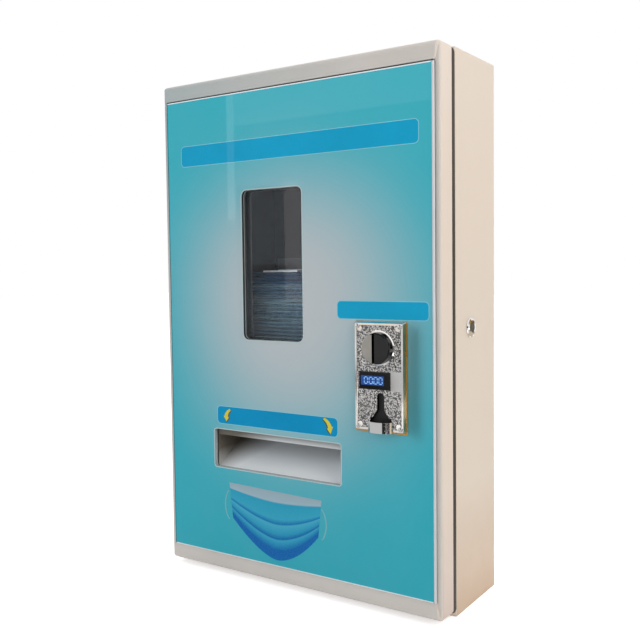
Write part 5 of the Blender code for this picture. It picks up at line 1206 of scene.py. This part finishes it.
@dataclass
class FrontPrint(Assembly):
    """The flat print on the front panel: blue labels, arrows and a pleated band, in millimetres."""

    rim_proud: float = 0.05 * MM
    label_proud: float = 0.08 * MM
    arrow_proud: float = 0.12 * MM
    rim: float = 0.75
    arrow_rim: float = 1.0

    def pieces(self) -> None:
        """Builds every printed piece."""
        self.label("top", LABEL_BLUE, (31.6, 531.5), (374.6, 557.5), 5.0)
        self.label("coin", LABEL_BLUE, (269.5, 336.5), (385.8, 356.7), 4.6)
        self.label("exit", LABEL_DEEP, (85.5, 195.0), (267.7, 217.3), 5.0)
        self.arrow("left", ((106.2, 213.6), (100.4, 210.5), (99.6, 204.6)), (99.9, 198.0), (0.8, -0.3))
        self.arrow("right", ((248.6, 215.6), (255.2, 212.5), (257.4, 205.4)), (258.0, 197.6), (-0.8, -0.3))
        self.pleats()
        self.loops()

    def layer(self, name: str, finish: Finish, outline: np.ndarray, proud: float) -> None:
        """Puts one flat outline, from the door's corner, on the glass."""
        self.add(name, finish, plate(DOOR_CORNER + outline * MM, GLASS_Y - proud, GLASS_Y + SUNK))

    def label(self, name: str, finish: Finish, low: tuple, high: tuple, radius: float) -> None:
        """Lays a bare label over a pale plate that shows as its rim.

        Args:
            name: Where the label is.
            finish: Its blue.
            low: Lower left corner.
            high: Upper right corner.
            radius: Corner radius.
        """
        self.layer(name + "_label", finish, rounded_outline(low, high, radius), self.label_proud)
        low, high = (low[0] - self.rim, low[1] - self.rim), (high[0] + self.rim, high[1] + self.rim)
        self.layer(name + "_label_rim", LABEL_RIM, rounded_outline(low, high, radius + self.rim), self.rim_proud)

    def arrow(self, name: str, bow: tuple, tip: tuple, slide: tuple) -> None:
        """Draws a bent arrow as a ribbon along a quadratic curve with a triangular head.

        The middle line is (1 - t)^2 tail + 2 t (1 - t) bend + t^2 neck, and the ribbon widens along it.

        Args:
            name: Where the arrow is.
            bow: Tail, bend and neck of the middle line.
            tip: Point of the head.
            slide: How far the dark edge is moved.
        """
        share = np.linspace(0, 1, 9)[:, None]
        tail, bend, neck = np.array(bow)
        line = (1 - share) ** 2 * tail + 2 * share * (1 - share) * bend + share**2 * neck
        slope = np.gradient(line, axis=0)
        slope /= np.linalg.norm(slope, axis=1)[:, None]
        side = np.column_stack([-slope[:, 1], slope[:, 0]])
        for word, finish, wider, move, proud in (
            ("_edge", ARROW_DARK, self.arrow_rim, slide, self.arrow_proud),
            ("", ARROW_YELLOW, 0.0, (0.0, 0.0), self.arrow_proud + self.rim_proud),
        ):
            half = 1.4 + 1.5 * share + wider
            head = side[-1] * (4.6 + 1.2 * wider)
            point = np.array(tip) + slope[-1] * wider * 1.2
            left, right = line + side * half, (line - side * half)[::-1]
            outline = np.concatenate([left, [line[-1] + head], [point], [line[-1] - head], right])
            self.layer(f"arrow_{name}{word}", finish, outline + np.array(move), proud)

    def pleats(self) -> None:
        """Prints the pleated band as a grid whose rows sag towards the middle.

        With u from -1 to 1 across and v from 0 to 1 down, x is the middle plus u times the half
        width, and z falls by v times a drop that grows from the side to the middle by 1 - |u|^1.7.
        """
        u, v = np.linspace(-1, 1, 49)[None, :], np.linspace(0, 1, 41)[:, None]
        x = 173.5 + u * (70.5 - 5.0 * v) + 4.0 * v * (1 - u**2)
        z = 116.5 - v * (46.0 + 41.5 * (1 - np.abs(u) ** 1.7)) - 1.6 * u
        flat = DOOR_CORNER + np.stack([x, z], -1) * MM
        points = np.insert(flat, 1, GLASS_Y - self.rim_proud, axis=-1)
        uv = np.stack(np.broadcast_arrays((u + 1) / 2, v), -1).reshape(-1, 2)
        skin = self.add("pleated_print", PLEATS, grid(points), uv=uv).modifiers.new("film", "SOLIDIFY")
        skin.thickness, skin.offset = self.rim_proud + SUNK, -1

    def loops(self) -> None:
        """Prints a pale loop at each side of the pleated band, as a bowed strip."""
        share = np.linspace(0, 1, 13)
        for word, side, middle in (("left", -1, 102.0), ("right", 1, 244.0)):
            x = middle + side * 6.5 * np.sin(np.pi * share) ** 0.7
            z = 106.0 - 38.0 * share - side * 1.6
            outline = np.concatenate([np.column_stack([x - 0.9, z]), np.column_stack([x + 0.9, z])[::-1]])
            self.layer("loop_print_" + word, LOOP_PRINT, outline, self.rim_proud)


@dataclass
class OpeningRims(Assembly):
    """Painted highlights: the thin bright rims that the cut edges show round the window and the exit."""

    width: float = 1.2 * MM
    proud: float = 0.06 * MM

    def pieces(self) -> None:
        """Builds both rims."""
        for name, low, high, radius in (("window_rim_highlight", (-0.0699, 0.3129), (0.0205, 0.5013), 7.5 * MM),
                                        ("exit_rim_highlight", (-0.1204, 0.1438), (0.0719, 0.1938), 3.5 * MM)):
            inner = rounded_outline(low, high, radius)
            low, high = [place - self.width for place in low], [place + self.width for place in high]
            outer = rounded_outline(low, high, radius + self.width)
            self.add(name, OPENING_HIGHLIGHT, band(outer, inner, GLASS_Y - self.proud, GLASS_Y + SUNK))


@dataclass
class PanelEdges(Assembly):
    """Painted light and shade along the edge of the glass as it shows in the frame."""

    left: float = -0.1927
    right: float = 0.1927
    base: float = 0.0281
    top: float = 0.6255
    gap: float = 1.3 * MM

    def pieces(self) -> None:
        """Builds the painted highlight and shade strips along the glass, and the bead."""
        left, right, base, top, under = self.left, self.right, self.base, self.top, self.top - self.gap
        for name, finish, low, high, proud in (
            # Painted shade in the gap under the top rail.
            ("gap_shade_top", GAP_SHADE, (left, under), (right, top), 0.05),
            # Painted highlights on the top and bottom bevels.
            ("edge_highlight_top", EDGE_HIGHLIGHT, (left + MM, top - 2.5 * MM), (right - 3 * MM, under), 0.10),
            ("edge_highlight_base", EDGE_HIGHLIGHT, (left + MM, base), (right - 3 * MM, base + MM), 0.10),
            # Painted shade on the left bevel.
            ("edge_shade_left", EDGE_SHADE, (left, base), (left + MM, under), 0.08),
        ):
            shape = plate(rounded_outline(low, high, 0.2 * MM, 2), GLASS_Y - proud * MM, GLASS_Y + SUNK)
            self.add("panel_" + name, finish, shape)
        self.bead()

    def bead(self) -> None:
        """Runs a half round bead up the right edge as a painted highlight: y = front - rise * sqrt(1 - t^2), t from -1
        to 1.
        """
        half, rise = 1.75 * MM, 0.9 * MM
        t = np.linspace(-1, 1, 9)[:, None]
        z = np.array([self.base, self.base + 0.4 * MM, self.top - 1.7 * MM, self.top - self.gap])[None, :]
        ends = np.array([0.3, 1.0, 1.0, 0.3])[None, :]
        x = self.right - 0.55 * MM + half * t + 0 * z
        front = np.stack([x, GLASS_Y - rise * np.sqrt(1 - t**2) * ends, z + 0 * t], -1)
        rear = front[::-1].copy()
        rear[..., 1] = GLASS_Y + SUNK
        points, faces = grid(np.concatenate([front, rear]), close_rows=True)
        caps = [list(range(start, len(points), z.size)) for start in (0, z.size - 1)]
        self.add("panel_bead", BEAD_HIGHLIGHT, (points, faces + caps))


@dataclass
class GapShadeStrip(Assembly):
    """A dark soft strip on the cabinet's front edge, clear of the hinges, put in as painted shade for the gap behind
    the door.
    """

    wide: float = 3.4 * MM
    rise: float = 5.5 * MM
    inset: float = 2.1 * MM
    foot: float = -0.03135

    body = "cabinet"
    slot = "black_plastic"

    def pieces(self) -> None:
        """Carries the strip's section along the top, the right side and the base.

        The section is a flat foot with a round back that reaches out by rise * sqrt(1 - t^2).
        """
        left, right, low, high = -0.176, 0.2 - self.inset, 0.0035 + self.inset, 0.6463 - self.inset
        bend, cut = 4 * MM, 1.2 * MM
        upper = np.array([[right, high - bend], [right - cut, high - cut], [right - bend, high], [left, high]])
        lower = np.array([[left, low], [right - bend, low], [right - cut, low + cut], [right, low + bend]])
        route = np.concatenate([lower, upper])
        along = np.gradient(route, axis=0)
        along /= np.linalg.norm(along, axis=1)[:, None]
        inward = np.column_stack([-along[:, 1], along[:, 0]])
        t = np.append(np.linspace(-1, 1, 9), [1.0, -1.0])
        out = np.append(self.rise * np.sqrt(np.clip(1 - t[:9] ** 2, 0, 1)), [-0.05 * MM, -0.05 * MM])
        flat = route[:, None, :] + inward[:, None, :] * (t[None, :, None] * self.wide / 2)
        points = np.stack([flat[..., 0], self.foot - np.broadcast_to(out, flat.shape[:2]), flat[..., 1]], -1)
        shape, faces = grid(points, close_columns=True)
        faces += [list(range(t.size)), list(range(len(shape) - t.size, len(shape)))]
        self.add("gap_shade_strip", GAP_SHADE, (shape, faces), smooth=50)


@dataclass
class SelectorTrim(Assembly):
    """The yellow plated rim behind the coin selector's face, and its domed corner rivets."""

    reach: float = 0.9 * MM
    wide: float = 3.0 * MM
    rivet: float = 3.1 * MM
    rise: float = 1.7 * MM
    inset: float = 5.6 * MM
    seat: float = 10.4 * MM
    tall: float = 127.0 * MM
    proud: float = 0.9 * MM
    sunk: float = 0.05 * MM

    slot = "chrome"

    def pieces(self) -> None:
        """Builds the rim and the rivets."""
        low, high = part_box("coin_faceplate")
        base = high.z - self.tall
        outer = rounded_outline((low.x - 0.2 * MM, base - self.reach), (high.x + self.reach, high.z), 2.2 * MM)
        inner = rounded_outline((low.x + self.wide, base + self.wide), (high.x - self.wide, high.z - self.wide),
                                1.2 * MM)
        self.add("selector_rim", YELLOW_ZINC, band(outer, inner, GLASS_Y - self.proud, GLASS_Y))
        turn = np.linspace(0, 1, 7) * np.pi / 2
        dome = np.column_stack([self.rivet * np.sin(turn), self.rise * np.cos(turn)])
        profile = np.concatenate([dome, [[self.rivet * 1.12, -self.sunk], [0, -self.sunk]]])
        heads = [turned(profile, (x, low.y + self.seat, z), (0, -1, 0))
                 for x in (low.x + self.inset, high.x - self.inset) for z in (base + self.inset, high.z - self.inset)]
        self.add("selector_rivets", CHROME, *heads, smooth=70)


@dataclass
class DisplayFace(Assembly):
    """The lit field of the coin selector's display and its plain noughts."""

    left: float = 0.1028
    right: float = 0.1350
    middle: float = 0.2733
    half: float = 5.5 * MM
    tall: float = 7.4 * MM
    wide: float = 4.2 * MM
    stroke: float = 0.85 * MM
    gap: float = 0.6 * MM
    between: float = 2.1 * MM
    point: float = 0.5 * MM
    recess: float = 0.5 * MM
    proud: float = 0.05 * MM

    slot = "black_gloss"

    def pieces(self) -> None:
        """Builds the field, and four noughts with a point after the second."""
        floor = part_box("display_module")[0].y + self.recess
        field = rounded_outline((self.left, self.middle - self.half), (self.right, self.middle + self.half),
                                0.3 * MM, 2)
        self.add("display_light", SCREEN, plate(field, floor - self.proud, floor + SUNK))
        pitch = self.wide + self.between
        start = (self.left + self.right) / 2 - 2.0 * pitch + 0.9 * MM
        dot, base = start + 2 * pitch - self.between / 2 - 0.05 * MM, self.middle - self.tall / 2
        bars = [bar for index in range(4) for bar in self.nought(start + index * pitch)]
        bars.append(rounded_outline((dot - self.point, base), (dot + self.point, base + 2 * self.point), 0.3 * MM, 2))
        shapes = [plate(bar, floor - 2 * self.proud, floor) for bar in bars]
        self.add("display_digits", DIGITS, *shapes)

    def nought(self, x: float) -> list:
        """Draws one nought as six bars, cut short at each end so that they don't meet.

        Args:
            x: Its left edge.

        Returns:
            The outlines of the bars.
        """
        low, mid, high, right = self.middle - self.tall / 2, self.middle, self.middle + self.tall / 2, x + self.wide
        half, gap, corner = self.stroke / 2, self.gap, self.stroke * 0.3
        top, base = [((x + gap, z - half), (right - gap, z + half)) for z in (high, low)]
        sides = [((at - half, foot + gap), (at + half, foot + self.tall / 2 - gap))
                 for at, foot in ((right, mid), (right, low), (x, low), (x, mid))]
        return [rounded_outline(*bar, corner, 2) for bar in (top, *sides[:2], base, *sides[2:])]


# ---------------------------------------------------------------- inside the cabinet


@dataclass
class PackStack(Assembly):
    """The masks in the magazine: thin film packs that lie on each other, pressed flat."""

    packs: int = 38
    deep: int = 3
    seed: int = 7

    body = "cabinet"
    slot = "mask_pack"

    def pieces(self) -> None:
        """Builds all the packs as one piece in place of the plain stack.

        Each pack is two skins over a grid: the thickness is full in the middle and closes towards
        the rim as (1 - |u|^9)(1 - |v|^7), and the rim is a crimped fin that waves a little.
        """
        low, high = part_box("mask_stack")
        noise = np.random.default_rng(self.seed)
        thick = (high.z - low.z) / self.packs
        u, v = np.linspace(-1, 1, 41)[None, :], np.linspace(-1, 1, 15)[:, None]
        swell = (1 - np.abs(u) ** 9) * (1 - np.abs(v) ** 7)
        rim = 1 - np.clip(swell * 2.2, 0, 1)
        half = thick * 0.5 * np.sqrt(np.clip(swell, 0, 1)) + 0.12 * MM
        shapes, tones, rims = [], [], []
        for number in range(self.packs):
            inset = noise.uniform(0.1, 1.6, 4) * MM
            left, right = low.x + inset[0], high.x - inset[1]
            front, rear = low.y + inset[2], high.y - inset[3]
            x = left + (u + 1) / 2 * (right - left) + 0 * v
            y = front + (v + 1) / 2 * (rear - front) + 0 * u
            waves = noise.uniform(0, 6.28, 3)
            dip = 0.35 * MM * np.sin(3.1 * u + waves[0]) + 0.25 * MM * np.sin(7.3 * u + 2.1 * v + waves[1])
            crimp = 0.22 * MM * np.sin(38 * u + waves[2]) * rim
            room = min(1.0, (number + 0.6) / 1.4, (self.packs - number - 0.4) / 1.4)
            middle = low.z + (number + 0.5) * thick + dip * room + crimp
            skins = [np.stack([x, y, np.clip(z, low.z, high.z)], -1) for z in (middle + half, middle - half)]
            loop = np.concatenate([skins[0], skins[1][::-1]])
            shapes.append(grid(loop, close_rows=True))
            blues = (0.0, 0.12) if number >= self.packs - self.deep else (0.42, 1.0)
            tones.append(np.full(loop[..., 0].size, noise.uniform(*blues)))
            rims.append(np.concatenate([rim, rim[::-1]]).ravel())
        tones = {"pack_tone": np.concatenate(tones), "pack_rim": np.concatenate(rims)}
        packs = self.add("mask_packs", FILM, *shapes, smooth=60, tones=tones)
        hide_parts("mask_stack")
        middle = (low + high) / 2
        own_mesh(packs)


@dataclass
class BoardParts(Assembly):
    """The small parts on the control board: relays, terminals, controller, capacitors and legs."""

    cover: float = 0.15 * MM
    thick: float = 1.6 * MM
    edge: float = 6 * MM
    relay: tuple = (15.0 * MM, 15.5 * MM, 19.0 * MM)
    ways: int = 11
    way_gap: float = 0.1 * MM
    way_deep: float = 11 * MM
    way_rise: tuple = (3 * MM, 12 * MM)
    chip_deep: float = 4 * MM
    chip_half: float = 7.5 * MM
    legs: int = 10
    leg: tuple = (0.35 * MM, 2.0 * MM, 1.8 * MM)
    leg_inset: float = 1.6 * MM
    leg_starts: tuple = (-9.2 * MM, 7.4 * MM)
    cans: tuple = ((-29, -1, 4.2, 11.0), (-18, -1, 4.2, 11.0), (-24, -11.5, 3.2, 8.0), (-14, -11.5, 3.2, 8.0))

    body = "cabinet"
    slot = "circuit_board"

    def pieces(self) -> None:
        """Builds the parts over the board's plain forms."""
        low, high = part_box("control_board")
        self.face, self.middle = high.y - self.thick, (low.z + high.z) / 2
        self.relays(low.x + self.edge, high.x - self.edge, high.z - 2 * self.edge)
        start, end = low.x + 2 * self.edge, high.x - 2 * self.edge
        self.terminals(start, (end - start) / self.ways, low.z)
        self.controller(start, (low.x + high.x) / 2)
        self.capacitors(high.x)

    def covered(self, low: tuple, high: tuple, radius: float, side: float) -> Shape:
        """Makes a block from the board outwards that just covers a plain form.

        Args:
            low: Lower corner of the form.
            high: Its upper right corner (x, z).
            radius: Corner radius.
            side: How far the block stands past the form's left and right.

        Returns:
            The points and the faces.
        """
        cover = self.cover
        return block((low[0] - side, low[1] - cover, low[2] - cover), (high[0] + side, self.face, high[1] + cover),
                     radius)

    def relays(self, left: float, right: float, top: float) -> None:
        """Stands three relays in a row.

        Args:
            left: Start of the row.
            right: End of the row.
            top: Height of their tops.
        """
        wide, deep, tall = self.relay
        pitch = (right - left) / 3
        starts = [left + number * pitch + (pitch - wide) / 2 for number in range(3)]
        relays = [self.covered((x, self.face - deep, top - tall), (x + wide, top), 0.8 * MM, self.cover)
                  for x in starts]
        self.add("board_relays", RELAY_BLUE, *relays, bevel=0.5 * MM)

    def terminals(self, start: float, pitch: float, base: float) -> None:
        """Lays a row of screw terminals along the board's lower edge.

        Args:
            start: Left end of the row.
            pitch: Width of each.
            base: The board's lower edge.
        """
        front, (foot, top) = self.face - self.way_deep, self.way_rise
        lefts = [start + number * pitch for number in range(self.ways)]
        strip = [self.covered((x, front, base + foot), (x + pitch, base + top), 0.5 * MM, -self.way_gap)
                 for x in lefts]
        self.add("board_terminals", TERMINAL_GREEN, *strip, bevel=0.4 * MM)
        middle = base + (foot + top) / 2
        screws = [screw_head((x + pitch / 2, front - self.cover, middle), (0, -1, 0), 1.5 * MM, 0.4 * MM)
                  for x in lefts]
        self.add("terminal_screws", SCREW, *screws)

    def controller(self, left: float, right: float) -> None:
        """Lays the controller, with bent legs along its two long sides.

        Args:
            left: Its left end.
            right: Its right end.
        """
        low = (left, self.face - self.chip_deep, self.middle - self.chip_half)
        high = (right, self.middle + self.chip_half)
        self.add("board_controller", BLACK, self.covered(low, high, 0.6 * MM, self.cover), bevel=0.3 * MM)
        half, deep, out = self.leg
        legs = [block((x - half, self.face - deep, self.middle + foot), (x + half, self.face, self.middle + foot + out),
                      0.1 * MM)
                for foot in self.leg_starts
                for x in np.linspace(left + self.leg_inset, right - self.leg_inset, self.legs)]
        self.add("controller_legs", SCREW, *legs)

    def capacitors(self, right: float) -> None:
        """Stands round capacitors with a rolled rim and a scored top beside the controller.

        Args:
            right: The board's right edge.
        """
        cans = []
        for x, z, r, h in self.cans:
            profile = np.array([[0, 0], [r * 0.92, 0], [r, 0.4], [r * 0.94, 1.4], [r, 2.0], [r, h - 0.6],
                                [r * 0.94, h], [r * 0.8, h], [r * 0.74, h - 0.25], [0, h - 0.25]])
            cans.append(turned(profile * MM, (right + x * MM, self.face, self.middle + z * MM), (0, -1, 0)))
        self.add("board_capacitors", CAN_FOIL, *cans)


@dataclass
class Screws(Assembly):
    """The screws that hold the inner parts: pan heads with a cross."""

    radius: float = 2.7 * MM
    rise: float = 1.2 * MM
    board: tuple = (6 * MM, 1.6 * MM)
    base: tuple = (6 * MM, 1.5 * MM, 9 * MM)
    bracket: tuple = (12 * MM, 2 * MM, 7 * MM)
    leaf: tuple = (5 * MM, 1.2 * MM)
    leaf_shares: tuple = (0.14, 0.5, 0.86)
    catch: tuple = (5 * MM, 2 * MM)

    slot = "inner_steel"

    def pieces(self) -> None:
        """Builds the screws of the cabinet, which look to the front, and those of the door.

        A part's field gives how far its screws lie from its sides, its thickness, and where it
        differs how far they lie from its ends.
        """
        low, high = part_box("control_board")
        side, thick = self.board
        inner = [(x, high.y - thick, z) for x in (low.x + side, high.x - side) for z in (low.z + side, high.z - side)]
        low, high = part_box("dispenser_base")
        side, thick, end = self.base
        inner += [(x, high.y - thick, high.z - end) for x in (low.x + side, high.x - side)]
        low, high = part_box("motor_bracket")
        side, thick, end = self.bracket
        inner += [(low.x + side, high.y - thick, z) for z in (low.z + end, high.z - end)]
        door = []
        side, thick = self.leaf
        for word in ("lower", "upper"):
            low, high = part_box(f"hinge_{word}_cabinet_leaf")
            door_low, door_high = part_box(f"hinge_{word}_door_leaf")
            for z in (low.z + share * (high.z - low.z) for share in self.leaf_shares):
                inner.append((high.x - side, high.y - thick, z))
                door.append((door_high.x - side, door_low.y + thick, z))
        low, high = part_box("lock_catch")
        side, thick = self.catch
        door += [(high.x - side, low.y + thick, z) for z in (low.z + side, high.z - side)]
        for body, places, way in (("cabinet", inner, -1), ("door", door, 1)):
            heads = [screw_head(place, (0, way, 0), self.radius, self.rise) for place in places]
            self.body = body
            self.add(body + "_screws", SCREW, *heads, smooth=40)


def main() -> None:
    """Builds the studio and every piece in order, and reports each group."""
    logging.basicConfig(level=logging.INFO, format="%(name)s: %(message)s")
    for group in (Studio(), Dresser(), FrontPrint(), OpeningRims(), PanelEdges(), GapShadeStrip(), SelectorTrim(),
                  DisplayFace(), PackStack(), BoardParts(), Screws()):
        LOG.info("%s: %d", type(group).__name__, group.build())


if __name__ == "__main__":
    main()
